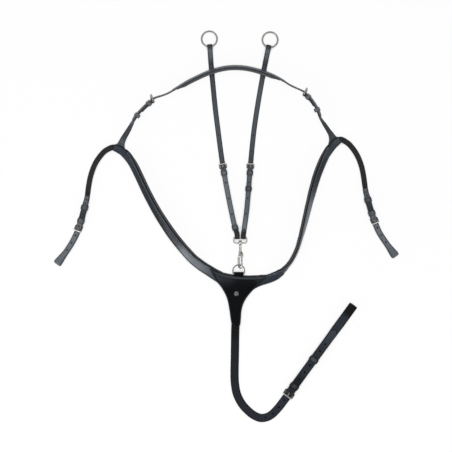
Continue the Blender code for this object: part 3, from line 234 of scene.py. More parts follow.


# shutReach and shut set the painted occlusion shade in crevices and gaps
leatherLooks = {
    "patchScale": 22.0, "patch": (0.38, 0.66), "patchShare": 0.35, "fineScale": 260.0, "grainValley": 0.16,
    "grainDark": 0.35, "edgeRub": (0.35, 0.6, 0.85, 0.6), "shutReach": 0.004, "shut": (0.2, 0.8, 0.9, 0.0),
    "roughSwing": 0.16, "edgeRough": 0.14, "grainHigh": 0.6, "fineHigh": 0.5,
}


def leatherGroup():
    # grain, pulled-up patches, dark creases, worn cut edges, and painted light: the tone mask paints sheen above 0 and
    # shade below 0, and ambient occlusion paints shade in crevices and gaps
    looks = leatherLooks
    tree, take = newGroup("leatherSurface", {
        "Colour": (0.03, 0.03, 0.03), "Worn": (0.08, 0.08, 0.08), "CreaseAndShade": (0.01, 0.01, 0.01), "Roughness": 0.4,
        "Grain Size": 900.0, "Variation": 0.5})
    spot = place(tree, "ShaderNodeTexCoord").outputs["Object"]
    broad = noise(tree, spot, looks["patchScale"], 4.0, 0.6)
    fine = noise(tree, spot, looks["fineScale"], 3.0)
    cells = place(tree, "ShaderNodeTexVoronoi", (("Randomness", 1.0),),
                  (("Vector", spot), ("Scale", take["Grain Size"])), feature="DISTANCE_TO_EDGE")
    valley = ramp(tree, cells.outputs["Distance"], 0.0, looks["grainValley"])
    tone, edge = mask(tree, "tone"), mask(tree, "edge")

    amount = math2(tree, "MULTIPLY", ramp(tree, broad, *looks["patch"]), take["Variation"])
    lighter = blendColour(tree, looks["patchShare"], take["Colour"], take["Worn"])
    colour = blendColour(tree, amount, take["Colour"], lighter)
    grainDark = math2(tree, "MULTIPLY", math2(tree, "SUBTRACT", 1.0, valley), looks["grainDark"])
    colour = blendColour(tree, grainDark, colour, take["CreaseAndShade"])
    # painted sheen: a tone above 0 blends towards the pale colour
    colour = blendColour(tree, math2(tree, "ADD", tone, 0.0, clamp=True), colour, take["Worn"])
    dyed = math2(tree, "MULTIPLY", edge, ramp(tree, fine, *looks["edgeRub"]))
    # painted shade: ambient occlusion darkens crevices, gaps and leather close under other pieces
    shut = ramp(tree, openSky(tree, looks["shutReach"], 4), *looks["shut"])
    # darker by painted shade (tone below 0), dyed edges, crease lines that also paint shade in hole walls and shadow
    # bands, and painted occlusion shade
    for dark in (math2(tree, "MULTIPLY", tone, -1.0, clamp=True), dyed, mask(tree, "line"), shut):
        colour = blendColour(tree, dark, colour, take["CreaseAndShade"])

    swing = math2(tree, "MULTIPLY", broad, looks["roughSwing"])
    rough = math2(tree, "ADD", take["Roughness"], math2(tree, "SUBTRACT", swing, looks["roughSwing"] / 2))
    rough = math2(tree, "ADD", rough, math2(tree, "MULTIPLY", edge, looks["edgeRough"]), clamp=True)
    height = math2(tree, "ADD", math2(tree, "MULTIPLY", valley, looks["grainHigh"]),
                   math2(tree, "MULTIPLY", fine, looks["fineHigh"]))
    return giveOut(tree, colour, rough, height)


webbingLooks = {"noiseScale": 0.55, "fleckFrom": (0.5, 0.7), "edgeDark": (0.4, (0.004, 0.004, 0.004)),
                "rough": 0.62, "crossRough": 0.08}


def webbingGroup():
    # rubber-cored webbing: lengthwise ribs crossed by a fine weft, with pale flecks
    looks = webbingLooks
    tree, take = newGroup("webbingWeave", {"Colour": (0.02, 0.02, 0.02), "Fleck": (0.2, 0.2, 0.2), "Rib": 1.6,
                                           "Weft": 1.1})
    along = place(tree, "ShaderNodeAttribute", attribute_name="strapPlace").outputs["Vector"]
    parts = place(tree, "ShaderNodeSeparateXYZ", (), (("Vector", along),)).outputs
    weftAngle, ribAngle = (math2(tree, "DIVIDE", math2(tree, "MULTIPLY", parts[axis], 2 * math.pi), take[pitch])
                           for axis, pitch in (("X", "Weft"), ("Y", "Rib")))
    weft = math2(tree, "SINE", math2(tree, "ADD", weftAngle, math2(tree, "MULTIPLY", ribAngle, 0.5)))
    cross = math2(tree, "MULTIPLY", weft, math2(tree, "SINE", ribAngle))
    gate = ramp(tree, noise(tree, along, looks["noiseScale"], 2.0), *looks["fleckFrom"])
    fleck = math2(tree, "MULTIPLY", math2(tree, "MAXIMUM", cross, 0.0), gate)
    colour = blendColour(tree, fleck, take["Colour"], take["Fleck"])
    share, dark = looks["edgeDark"]
    colour = blendColour(tree, math2(tree, "MULTIPLY", mask(tree, "edge"), share), colour, dark)
    rough = math2(tree, "ADD", looks["rough"], math2(tree, "MULTIPLY", cross, looks["crossRough"]))
    return giveOut(tree, colour, rough, cross)


metalLooks = {"hazeScale": 70.0, "haze": (0.4, 0.75), "hazeShare": 0.5, "hazeRough": 0.16, "lineScale": 900.0,
              "lineTwist": 1.5, "away": (0.25, 0.95)}


def metalGroup():
    # polishing lines, finger haze, and painted shade: bars darker where the tone mask is below 0
    looks = metalLooks
    tree, take = newGroup("wornMetal", {"Colour": (0.6, 0.6, 0.6), "TarnishAndShade": (0.2, 0.2, 0.2), "Roughness": 0.15,
                                        "Haze": 0.5})
    spot = place(tree, "ShaderNodeTexCoord").outputs["Object"]
    clouds = ramp(tree, noise(tree, spot, looks["hazeScale"], 5.0, 0.65), *looks["haze"])
    fine = noise(tree, spot, looks["lineScale"], 2.0, distortion=looks["lineTwist"])
    amount = math2(tree, "MULTIPLY", clouds, take["Haze"])
    colour = take["Colour"]
    # finger haze, then painted shade from the tone mask
    for share in (math2(tree, "MULTIPLY", amount, looks["hazeShare"]),
                  math2(tree, "MULTIPLY", mask(tree, "tone"), -1.0, clamp=True)):
        colour = blendColour(tree, share, colour, take["TarnishAndShade"])
    rough = math2(tree, "ADD", take["Roughness"], math2(tree, "MULTIPLY", amount, looks["hazeRough"]), clamp=True)
    return giveOut(tree, colour, rough, fine)


finishes = {                              # the group's values, then the shader's own specular level and the bump
    "strapLeather": {
        "Colour": (0.092, 0.108, 0.126), "Worn": (0.19, 0.205, 0.225), "CreaseAndShade": (0.012, 0.014, 0.017),
        "Roughness": 0.42, "Grain Size": 1000.0, "Variation": 0.4, "specular": 0.14, "bump": 0.12},
    "breastLeather": {
        "Colour": (0.0155, 0.023, 0.0345), "Worn": (0.155, 0.17, 0.19), "CreaseAndShade": (0.002, 0.003, 0.004),
        "Roughness": 0.36, "Grain Size": 850.0, "Variation": 0.12, "specular": 0.16, "bump": 0.1},
    "chestLeather": {
        "Colour": (0.0016, 0.002, 0.0028), "Worn": (0.05, 0.056, 0.066), "CreaseAndShade": (0.0008, 0.0008, 0.001),
        "Roughness": 0.34, "Grain Size": 850.0, "Variation": 0.06, "specular": 0.045, "bump": 0.1},
    "girthLeather": {
        "Colour": (0.022, 0.028, 0.038), "Worn": (0.07, 0.08, 0.096), "CreaseAndShade": (0.002, 0.002, 0.003),
        "Roughness": 0.4, "Grain Size": 850.0, "Variation": 0.25, "specular": 0.1, "bump": 0.12},
    "padLeather": {
        "Colour": (0.02, 0.022, 0.026), "Worn": (0.085, 0.088, 0.095), "CreaseAndShade": (0.003, 0.003, 0.003),
        "Roughness": 0.5, "Grain Size": 700.0, "Variation": 0.3, "specular": 0.12, "bump": 0.15},
    "keeperLeather": {
        "Colour": (0.07, 0.082, 0.096), "Worn": (0.19, 0.205, 0.225), "CreaseAndShade": (0.003, 0.003, 0.004),
        "Roughness": 0.32, "Grain Size": 1100.0, "Variation": 0.4, "specular": 0.2, "bump": 0.1},
    "thread": {
        "Colour": (0.05, 0.052, 0.056), "Worn": (0.13, 0.135, 0.14), "CreaseAndShade": (0.01, 0.01, 0.01),
        "Roughness": 0.6, "Grain Size": 2600.0, "Variation": 0.4, "specular": 0.2, "bump": 0.2},
}
metals = {                                # rim is the share of painted shade, towards the tarnish colour, where a bar turns away from the view
    "polishedSteel": {"Colour": (0.42, 0.405, 0.385), "TarnishAndShade": (0.075, 0.07, 0.065), "Roughness": 0.2,
                      "Haze": 0.5, "rim": 0.95},
    "ringSteel": {"Colour": (0.21, 0.197, 0.185), "TarnishAndShade": (0.05, 0.045, 0.04), "Roughness": 0.24,
                  "Haze": 0.5, "rim": 0.95},
    "studSteel": {"Colour": (0.125, 0.12, 0.117), "TarnishAndShade": (0.02, 0.019, 0.018), "Roughness": 0.25, "Haze": 0.7,
                  "rim": 0.9},
}
weave = {"Colour": (0.009, 0.009, 0.010), "Fleck": (0.06, 0.062, 0.068), "Rib": 1.9, "Weft": 1.5, "bump": 0.7,
         "specular": 0.2, "sheen": 0.1}
bumpHeights = {"leather": 0.0003, "weave": 0.0003, "metal": 0.0001}
metalBump = 0.03


def materialWith(group, name, look, bump, distance, **fixed):
    # a Principled material fed by one of the groups; what is the same all over sits on its own sockets
    made = bpy.data.materials.new(name)
    made.use_nodes = True
    tree = made.node_tree
    shader = tree.nodes["Principled BSDF"]
    node = place(tree, "ShaderNodeGroup", node_tree=group)
    feed(tree, node, [(key, value) for key, value in look.items() if key in node.inputs])
    bumped = place(tree, "ShaderNodeBump", (("Strength", bump), ("Distance", distance)),
                   (("Height", node.outputs["Height"]),))
    feed(tree, shader, (("Base Color", node.outputs["Colour"]), ("Roughness", node.outputs["Roughness"]),
                        ("Normal", bumped.outputs["Normal"])))
    for socket, value in fixed.items():
        shader.inputs[socket.replace("_", " ")].default_value = value
    return made


def makeFinishes():
    made = {}
    group = leatherGroup()
    for name, look in finishes.items():
        made[name] = materialWith(group, name, look, look["bump"], bumpHeights["leather"],
                                  Specular_IOR_Level=look["specular"])
    group = metalGroup()
    for name, look in metals.items():
        made[name] = materialWith(group, name, look, metalBump, bumpHeights["metal"], Metallic=1.0)
        # painted shade: bars darken where they turn away from the view
        tree = made[name].node_tree
        base = tree.nodes["Principled BSDF"].inputs["Base Color"]
        away = place(tree, "ShaderNodeLayerWeight", (("Blend", 0.5),)).outputs["Facing"]
        rim = ramp(tree, away, *metalLooks["away"], 0.0, look["rim"])
        tree.links.new(blendColour(tree, rim, base.links[0].from_socket, look["TarnishAndShade"]), base)
    made["elasticWebbing"] = materialWith(webbingGroup(), "elasticWebbing", weave, weave["bump"], bumpHeights["weave"],
                                          Specular_IOR_Level=weave["specular"], Sheen_Weight=weave["sheen"])
    return made


finish = makeFinishes()
print("finishes made")


# Routes and straps


def clamp(t):
    return min(max(t, 0.0), 1.0)


def ease(t):
    # 0 to 1 with soft ends, flat beyond them
    return (1.0 - math.cos(math.pi * clamp(t))) / 2.0


def bulge(t):
    # quarter round: 0 at t = 0, 1 from t = 1 on
    return math.sqrt(1 - (1 - min(t, 1.0)) ** 2)


def hump(t):
    return math.exp(-t ** 2)


def turns(start, sweep, steps):
    # cosine and sine at even steps through sweep, in degrees
    angles = [math.radians(start + sweep * k / steps) for k in range(steps + 1)]
    return [(math.cos(angle), math.sin(angle)) for angle in angles]


def hermite(a, b, slopeA, slopeB, t):
    u = 1.0 - t
    return a * u * u * (1 + 2 * t) + b * t * t * (3 - 2 * t) + slopeA * t * u * u - slopeB * t * t * u


def smoothCurve(points, steps=8):
    points = [Vector(p) for p in points]
    gaps = [(b - a).length for a, b in zip(points, points[1:])]
    slopes = [(points[1] - points[0]) / gaps[0]]
    for i in range(1, len(points) - 1):
        slopes.append((points[i + 1] - points[i - 1]) / (gaps[i] + gaps[i - 1]))
    slopes.append((points[-1] - points[-2]) / gaps[-1])
    curve = []
    for i, gap in enumerate(gaps):
        for k in range(steps):
            curve.append(hermite(points[i], points[i + 1], slopes[i] * gap, slopes[i + 1] * gap, k / steps))
    return curve + [points[-1]]


class Route:
    # centre line of a strap: each point is x, y, roll in degrees and rise; a place on it is
    # s along, n off the face and w across, as in the CAD
    steps = 20

    def __init__(self, points, sideReach, lowReach):
        flat = smoothCurve([(p[0], p[1]) for p in points], self.steps)
        self.places, self.rolls = [], []
        for i, spot in enumerate(flat):
            k = min(i // self.steps, len(points) - 2)
            t = ease(i / self.steps - k)
            roll = math.radians(points[k][2] + (points[k + 1][2] - points[k][2]) * t)
            rise = points[k][3] + (points[k + 1][3] - points[k][3]) * t
            height = rise + sideReach * abs(math.sin(roll)) + lowReach * abs(math.cos(roll))
            self.places.append(Vector((spot.x, spot.y, height)))
            self.rolls.append(roll)
        self.marks = [0.0]
        for a, b in zip(self.places, self.places[1:]):
            self.marks.append(self.marks[-1] + (b - a).length)
        self.length = self.marks[-1]
        self.frames = [self.axes(i) for i in range(len(self.places))]

    def axes(self, i):
        last = len(self.places) - 1
        along = (self.places[min(i + 1, last)] - self.places[max(i - 1, 0)]).normalized()
        level = Vector((0, 0, 1)).cross(along).normalized()
        upright = along.cross(level)
        across = level * math.cos(self.rolls[i]) + upright * math.sin(self.rolls[i])
        return along, across, along.cross(across)

    def frame(self, s):
        inside = min(max(s, 0.0), self.length)
        i = min(max(bisect.bisect_right(self.marks, inside) - 1, 0), len(self.marks) - 2)
        t = (inside - self.marks[i]) / (self.marks[i + 1] - self.marks[i])
        axes = [a.lerp(b, t).normalized() for a, b in zip(self.frames[i], self.frames[i + 1])]
        return self.places[i].lerp(self.places[i + 1], t) + axes[0] * (s - inside), axes

    def point(self, s, n=0.0, w=0.0):
        spot, (_, across, off) = self.frame(s)
        return spot + across * w + off * n

    def nearest(self, x, y):
        spot = Vector((x, y))
        return min(zip(self.marks, self.places), key=lambda m: (m[1].to_2d() - spot).length)[0]


def pieceName(node):
    first, *words = node.split("_")
    return first + "".join(word.capitalize() for word in words)


def newObject(name, verts, faces):
    mesh = bpy.data.meshes.new(name)
    mesh.from_pydata([Vector(v) * mm for v in verts], [], faces)
    skin = bmesh.new()
    skin.from_mesh(mesh)
    bmesh.ops.recalc_face_normals(skin, faces=skin.faces)
    skin.to_mesh(mesh)
    skin.free()
    obj = bpy.data.objects.new(name, mesh)
    bpy.context.scene.collection.objects.link(obj)
    return obj


def setMasks(obj, **masks):
    # one number for the whole piece, or a number or place for each point
    for name, values in masks.items():
        if isinstance(values, float):
            values = [values] * len(obj.data.vertices)
        if isinstance(values[0], tuple):
            layer = obj.data.attributes.new(name, "FLOAT_VECTOR", "POINT")
            layer.data.foreach_set("vector", [x for value in values for x in value])
        else:
            layer = obj.data.attributes.new(name, "FLOAT", "POINT")
            layer.data.foreach_set("value", values)


def change(obj, kind, **settings):
    # adds a modifier and swaps the mesh for the one with it applied
    made = obj.modifiers.new(kind.lower(), kind)
    for key, value in settings.items():
        setattr(made, key, value)
    bpy.context.view_layer.update()
    ready = bpy.data.meshes.new_from_object(obj.evaluated_get(bpy.context.evaluated_depsgraph_get()))
    obj.modifiers.clear()
    obj.data = ready


def cutAway(obj, cutters):
    tool = newObject(obj.name + "_cutter", *joined(cutters))
    # painted shade: the walls of the cut holes are made fully dark
    setMasks(tool, edge=1.0, line=1.0, tone=0.0)
    change(obj, "BOOLEAN", operation="DIFFERENCE", object=tool, solver="EXACT")
    bpy.data.objects.remove(tool)


def dress(obj, look, node, *more, angle=42.0, padded=None, alone=False):
    # smooth faces, material and body; unless it stands alone, the CAD nodes that the piece replaces are hidden
    obj.data.shade_smooth()
    obj.data.set_sharp_from_angle(angle=math.radians(angle))
    obj.data.materials.clear()
    obj.data.materials.append(finish[look])
    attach(obj, bodyOf[node])
    if not alone:
        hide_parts(node, *more)


def joined(meshes):
    verts, faces = [], []
    for moreVerts, moreFaces in meshes:
        start = len(verts)
        verts.extend(moreVerts)
        faces.extend(tuple(start + i for i in face) for face in moreFaces)
    return verts, faces


def skin(rings, closed=False):
    size = len(rings[0])
    verts = [point for ring in rings for point in ring]
    faces = []
    for i in range(len(rings) if closed else len(rings) - 1):
        a, b = i * size, (i + 1) % len(rings) * size
        for j in range(size):
            k = (j + 1) % size
            faces.append((a + j, a + k, b + k, b + j))
    if not closed:
        faces.append(tuple(range(size)))
        faces.append(tuple(range((len(rings) - 1) * size, len(rings) * size)))
    return verts, faces


pathSteps = {"flat": 2.5, "sloped": 1.3, "fewest": 8, "level": 0.05}


def runPath(knots, half, step=pathSteps["flat"]):
    # straight where the level stays, eased where it changes
    path = []
    for (s0, n0), (s1, n1) in zip(knots, knots[1:]):
        level = abs(n1 - n0) < pathSteps["level"]
        count = max(1 if level else pathSteps["fewest"],
                    math.ceil(abs(s1 - s0) / (step if level else pathSteps["sloped"])))
        for k in range(count):
            path.append((s0 + (s1 - s0) * k / count, n0 + (n1 - n0) * ease(k / count), half))
    path.append((*knots[-1], half))
    return path


def foldPath(s, n, radius, start, sweep, half, steps=14):
    return [(s + radius * c, n + radius * d, half) for c, d in turns(start, sweep, steps)[1:-1]]


def roundTip(path, length=9.5):
    # narrows the end of a strap to a rounded point
    s1, n1, half = path[-1]
    way = 1 if s1 > path[-2][0] else -1
    kept = [p for p in path if (s1 - p[0]) * way > length + 0.5]
    for share in (1.0, 0.85, 0.7, 0.55, 0.42, 0.3, 0.2, 0.12, 0.06, 0.02, 0.0):
        wide = max(math.sqrt(max(1 - (1 - share) ** 2.3, 0.0)), 0.12)
        kept.append((s1 - way * length * share, n1, half * wide))
    return kept


def between(table, s):
    # value at s from a table of places and values, eased from one to the next
    if s <= table[0][0]:
        return table[0][1]
    for (s0, v0), (s1, v1) in zip(table, table[1:]):
        if s <= s1:
            return v0 + (v1 - v0) * ease((s - s0) / (s1 - s0))
    return table[-1][1]


def cleanPath(path, gap=0.03):
    kept = [path[0]]
    for p in path[1:]:
        if math.hypot(p[0] - kept[-1][0], p[1] - kept[-1][1]) > gap:
            kept.append(p)
    return kept


def pathMarks(path):
    marks = [0.0]
    for (s0, n0, _), (s1, n1, _) in zip(path, path[1:]):
        marks.append(marks[-1] + math.hypot(s1 - s0, n1 - n0))
    return marks


cutEnd = {"run": 0.75, "pull": 0.7, "mask": 0.8}


def withEnds(path):
    # extra samples so that the cut ends can be rounded
    run, marks = cutEnd["run"], pathMarks(path)
    total = marks[-1]
    wanted = [0.0, 0.12 * run, 0.35 * run, 0.65 * run, run]
    wanted += [total - d for d in wanted]
    kept = [m for m in marks if run * 1.2 < m < total - run * 1.2]
    made = []
    for mark in sorted({round(m, 4) for m in kept + wanted}):
        i = min(max(bisect.bisect_right(marks, mark) - 1, 0), len(marks) - 2)
        t = clamp((mark - marks[i]) / (marks[i + 1] - marks[i]))
        made.append(tuple(x + (y - x) * t for x, y in zip(path[i], path[i + 1])))
    return made


def ribbonProfile(ply, look):
    # points round a strap's section: distance in from the edge or share of the middle, level, edge and line masks
    top = ply / 2
    corner = min(0.42 * ply, 1.15)
    crease, depth, crown = look.get("crease", 0.0), look.get("depth", 0.28), look.get("crown", 0.0)
    round4 = [(corner * (1 - c), top - corner + corner * d, 1.0 - 0.55 * k / 3)
              for k, (c, d) in enumerate(turns(0, 90, 3))]
    side = [(0.0, 0.0, 1.0, 0.0)] + [(*spot, 0.0) for spot in round4[1:]]
    low = [(d, -t, e, 0.0) for d, t, e in round4[1:]]
    if crease:
        side += [(crease - 0.55, top, 0.6, 0.0), (crease - 0.15, top - depth, 0.4, 1.0),
                 (crease + 0.15, top - depth, 0.4, 1.0), (crease + 0.6, top + 0.1 * crown, 0.12, 0.0),
                 (crease + 2.0, top + 0.5 * crown, 0.0, 0.0)]
    else:
        side += [(corner + 0.8, top + 0.2 * crown, 0.0, 0.0), (corner + 2.0, top + 0.5 * crown, 0.0, 0.0)]
    return side, [(0.5, top + 0.85 * crown), (0.0, top + crown), (-0.5, top + 0.85 * crown)], low


def ribbonRing(ply, profile, half):
    # the section's points from one edge over the top and back under: across, level, edge and line masks
    side, middle, low = profile
    inner = side[-1][0]
    k = min(1.0, half / (inner + 0.8))
    ring = [(half - d * k, t, e, m) for d, t, e, m in side]
    ring += [(share * (half - inner * k), t, 0.0, 0.0) for share, t in middle]
    ring += [(d * k - half, t, e, m) for d, t, e, m in [*reversed(side), *low]]
    ring.append((0.0, -ply / 2, 0.0, 0.0))
    return ring + [(half - d * k, t, e, m) for d, t, e, m in reversed(low)]


def strapPiece(node, route, path, ply, look, cutters=()):
    # strap with rounded cut edges, creased lines and a slight crown on its outer side
    path = withEnds(cleanPath(path))
    marks = pathMarks(path)
    total, last = marks[-1], len(path) - 1
    profile = ribbonProfile(ply, look)
    way = -1 if look.get("flip") else 1
    rings, edge, line, tone, spots = [], [], [], [], []
    for i, (s, n, half) in enumerate(path):
        s0, n0, _ = path[max(i - 1, 0)]
        s1, n1, _ = path[min(i + 1, last)]
        length = math.hypot(s1 - s0, n1 - n0)
        offS, offN = -(n1 - n0) / length * way, (s1 - s0) / length * way
        close = min(marks[i], total - marks[i]) / cutEnd["run"]
        squeeze = 1.0 if close >= 1 else 0.45 + 0.55 * bulge(close)
        endMask = 0.0 if close >= 1 else cutEnd["mask"] * (1 - close)
        half = half + look.get("spread", 0.0) - (1 - squeeze) * cutEnd["pull"]
        # painted light and shade along the strap, from its table of places and values
        shade = between(look["tones"], s) if "tones" in look else 0.0
        ring = []
        for w, t, e, m in ribbonRing(ply, profile, half):
            light = shade
            # painted shadow: a dark band along one side, where the strap's edge lies over the piece under it
            if "seam" in look:
                side, start, end, width = look["seam"]
                if w * side > half - width and t > 0:
                    if start < s < end:
                        e, m = 1.0, 0.85
                    elif s >= end:        # past the painted shadow band its side gets a painted highlight
                        e, m, light = e * 0.1, m * 0.15, max(shade, 0.0) + look["litEdge"]
            ring.append(route.point(s + offS * t * squeeze, n + offN * t * squeeze, w))
            edge.append(max(e, endMask))
            line.append(m)
            tone.append(light)
            spots.append((marks[i], w, t))
        rings.append(ring)
    obj = newObject(pieceName(node), *skin(rings))
    setMasks(obj, edge=edge, line=line, tone=tone, strapPlace=spots)
    if cutters:
        cutAway(obj, cutters)
    dress(obj, look["finish"], node)


def tube(points, ups, radii, sides, closed=False):
    # round or oval tube: a radius is one number, or the pair beside and above the path
    last = len(points) - 1
    circle = turns(180 / sides, 360, sides)[:-1]
    rings = []
    for i, point in enumerate(points):
        before = points[i - 1] if closed else points[max(i - 1, 0)]
        after = points[(i + 1) % len(points)] if closed else points[min(i + 1, last)]
        along = (after - before).normalized()
        side = along.cross(ups[i]).normalized()
        up = side.cross(along)
        radius = radii[i] if isinstance(radii, list) else radii
        wide, high = radius if isinstance(radius, tuple) else (radius, radius)
        rings.append([point + side * wide * c + up * high * d for c, d in circle])
    return skin(rings, closed)


def turned(centre, axis, guide, profile, sides):
    across = axis.cross(guide).normalized()
    other = axis.cross(across)
    circle = turns(0, 360, sides)[:-1]
    return skin([[centre + axis * along + (across * c + other * d) * radius for c, d in circle]
                 for along, radius in profile])


def roundedLoop(x0, x1, y0, y1, corner, turnSteps, sideSteps):
    # closed loop with round corners, from x1 towards y1
    corners = [((x1 - corner, y1 - corner), 0), ((x0 + corner, y1 - corner), 90), ((x0 + corner, y0 + corner), 180),
               ((x1 - corner, y0 + corner), 270)]
    arcs = [[Vector(middle) + Vector(spot) * corner for spot in turns(start, 90, turnSteps)]
            for middle, start in corners]
    loop = []
    for i, arc in enumerate(arcs):
        then = arcs[(i + 1) % 4][0]
        loop += arc + [arc[-1].lerp(then, k / sideSteps) for k in range(1, sideSteps)]
    return loop


holeLooks = {"sides": 20, "shut": 0.25, "sunk": 0.45, "rim": 0.3, "flare": 1.6, "high": 3.0}


def holeCutter(route, s, face, ply, radius, halfSlot=0.0, low=-9.0):
    # punched hole with a slightly sunk rim at the strap's face; unused ones have closed up towards the back
    looks = holeLooks
    shut = radius if halfSlot else looks["shut"]
    circle = turns(180 / looks["sides"], 360, looks["sides"])[:-1]
    rings = []
    for n, r in ((low, shut), (face - ply - 0.05, shut), (face - looks["sunk"], radius),
                 (face + 0.05, radius + looks["rim"]), (face + looks["high"], radius + looks["flare"])):
        rings.append([route.point(s + math.copysign(halfSlot, c) + r * c, n, r * d) for c, d in circle])
    return skin(rings)


def blockCutter(route, sides, levels, half, corner=0.8):
    rings = []
    for n in levels:
        ring = []
        for signS, signW, start in ((1, 1, 0), (-1, 1, 90), (-1, -1, 180), (1, -1, 270)):
            middleS = (sides[1] - corner) if signS > 0 else (sides[0] + corner)
            ring += [route.point(middleS + corner * c, n, signW * (half - corner) + corner * d)
                     for c, d in turns(start, 90, 3)]
        rings.append(ring)
    return skin(rings)


# Stitching

stitch = {"length": 3.3, "radius": 0.42, "pitch": 4.6, "sunk": 0.12, "slant": 5.0}
seamSunk = 0.05


def oneStitch(middle, along, off):
    # a short thread standing a little proud, its ends diving into the leather
    across = off.cross(along).normalized()
    slant = math.radians(stitch["slant"])
    along = along * math.cos(slant) + across * math.sin(slant)
    half = stitch["length"] / 2
    points, radii = [], []
    for share in (-1.0, -0.8, -0.35, 0.35, 0.8, 1.0):
        rise = stitch["radius"] * (0.75 - 1.5 * share ** 4) - stitch["sunk"]
        points.append(middle + along * half * share + off * rise)
        radii.append(stitch["radius"] * (1.0 if abs(share) < 0.9 else 0.55))
    return tube(points, [off] * len(points), radii, 6)


def stitchPiece(name, spots, node):
    dress(newObject(name, *joined([oneStitch(*spot) for spot in spots])), "thread", node, angle=70, alone=True)


def rowSpots(route, s0, s1, level, across, pitch=stitch["pitch"]):
    # stitches between two places on a route; across is a number or a function of s
    count = max(1, int(abs(s1 - s0) / pitch))
    spots = []
    for k in range(count + 1):
        s = s0 + (s1 - s0) * (k + 0.5) / (count + 1)
        w = across(s) if callable(across) else across
        spots.append((route.point(s, level, w), route.frame(s)[1][0], route.frame(s)[1][2]))
    return spots


def crossSpots(route, s, level, widths, aimedAt=None):
    # stitches in a line across a strap, aimed as at another place where that is given
    _, (_, across, off) = route.frame(s if aimedAt is None else aimedAt)
    return [(route.point(s, level, w), across, off) for w in widths]


# Breast straps and their padded linings

touchGap = 0.3
chest = {
    "backThick": 3.0, "frontThick": 3.0, "studRadius": 6.0, "studDome": 2.4, "postRadius": 1.6,
    "backNeck": ((-9.0, 49.6), (23.0, 47.0)), "backLap": 15.0,
    "frontNeck": ((-69.0, 65.5), (-46.0, 54.0), (-24.0, 48.0), (0.0, 44.8), (23.0, 43.6), (50.0, 43.6),
                  (78.0, 46.0)),
    "frontRight": ((76.5, 41.5), (66.0, 31.0), (53.5, 18.5)), "frontLeft": (-53.5, 33.0),
    "right": ((66.0, 21.0), (53.0, 15.0), (42.0, 8.0), (26.5, -11.0), (17.5, -28.0), (13.0, -46.0),
              (11.5, -66.0), (9.0, -83.0)),
    "left": ((-10.5, -82.0), (-14.5, -70.0), (-18.0, -43.5), (-25.0, -11.0), (-39.5, 16.5)),
    "tail": 91.5, "backPast": 0.5, "fill": 0.4,
}
breast = {
    "ply": 3.2, "half": 10.0, "endHalf": 8.4, "endTaper": 12.0, "padThick": 5.5, "padRun": 9.0, "steps": 300,
    "sewnIn": 1.7, "fill": 0.55,
    "padStart": 40.0, "lap": 15.4, "thinStart": 110.0, "thinStop": 52.0,
    # litEdge is the painted highlight on the side past the painted shadow band
    "look": {"finish": "breastLeather", "crease": 2.9, "depth": 0.3, "crown": 0.55, "spread": 0.6,
             "litEdge": 0.3},
    "rims": {                             # how far the lining shows on the neck side
        "left": ((30, 1.2), (84, 6.4), (380, 6.4), (400, 6.4), (420, 7.4), (448, 9.6)),
        "right": ((30, 1.2), (84, 6.4), (340, 6.2), (372, 3.0), (400, 1.4), (420, 2.3), (446, 7.3))},
    # painted sheen above 0 and painted shade below 0, at places along each strap
    "tones": {
        "left": ((0, 0.05), (60, 0.0), (110, -0.45), (240, -0.75), (285, -0.3), (345, 0.9), (385, 0.9), (430, 0.35)),
        "right": ((0, 0.15), (50, 0.1), (100, -0.35), (135, 0.0), (215, 0.85), (250, 0.9), (285, 0.5), (320, 0.15),
                  (385, 0.0), (425, 0.0))},
    # the last entry is the painted shadow band on the neck side: start, end and width
    "visibleStart": 30.0, "flatter": 0.94, "seam": (4.0, 36.0, 3.6),
}
chestRise = chest["backThick"] - breast["padThick"]
breastPoints = {
    "left": (
        (-318.0, 380.5, 0, 0), (-303.5, 374.0, 2, 0), (-292.0, 366.0, 12, 0), (-283.5, 356.0, 34, 0),
        (-277.0, 346.5, 47, 0), (-269.0, 333.0, 51, 0), (-255.0, 304.5, 52, 0), (-238.0, 268.0, 51, 0),
        (-223.5, 239.5, 50, 0), (-208.0, 211.5, 47, 0), (-191.0, 184.0, 42, 0), (-168.5, 151.0, 36, 0),
        (-143.5, 119.5, 34, 0), (-117.0, 90.0, 28, 0), (-98.5, 74.5, 16, 0.5), (-85.5, 65.0, 5, 0.86),
        (-75.5, 58.5, 0, 1), (-53.0, 43.5, 0, 1), (-31.0, 30.0, 0, 1)),
    "right": (
        (268.0, 400.5, 0, 0), (255.5, 390.0, -2, 0), (248.0, 382.0, -12, 0), (241.0, 372.0, -36, 0),
        (233.0, 358.5, -48, 0), (223.5, 337.0, -52, 0), (212.0, 307.5, -54, 0), (200.5, 269.5, -59, 0),
        (190.0, 230.5, -67, 0), (182.5, 199.5, -71, 0), (174.5, 168.5, -77, 0), (168.0, 145.5, -84, 0),
        (158.5, 115.0, -87, 0), (144.5, 86.5, -87, 0), (134.0, 73.0, -83, 0), (123.0, 61.5, -70, 0.15),
        (111.5, 52.0, -42, 0.55), (97.5, 43.5, -12, 0.93), (86.0, 38.5, 0, 1), (67.0, 32.5, 0, 1),
        (48.0, 27.0, 0, 1)),
}
# rimTone is the painted highlight on a pad's rolled rim
padLooks = {
    "groove": 0.75, "grooveShare": 0.2, "swell": 0.35, "pucker": 0.16, "rimTone": 0.55, "endPull": 0.8,
    "fullReach": 4.0, "rollThick": 0.5, "rollReach": 0.55, "bareRoll": 0.32, "backRoll": 0.3, "backPast": 0.5,
    "flatIn": 2.6, "backIn": 3.2, "sag": 0.1,
}


def grooveAt(overhang):
    return min(padLooks["groove"], abs(overhang) * padLooks["grooveShare"])


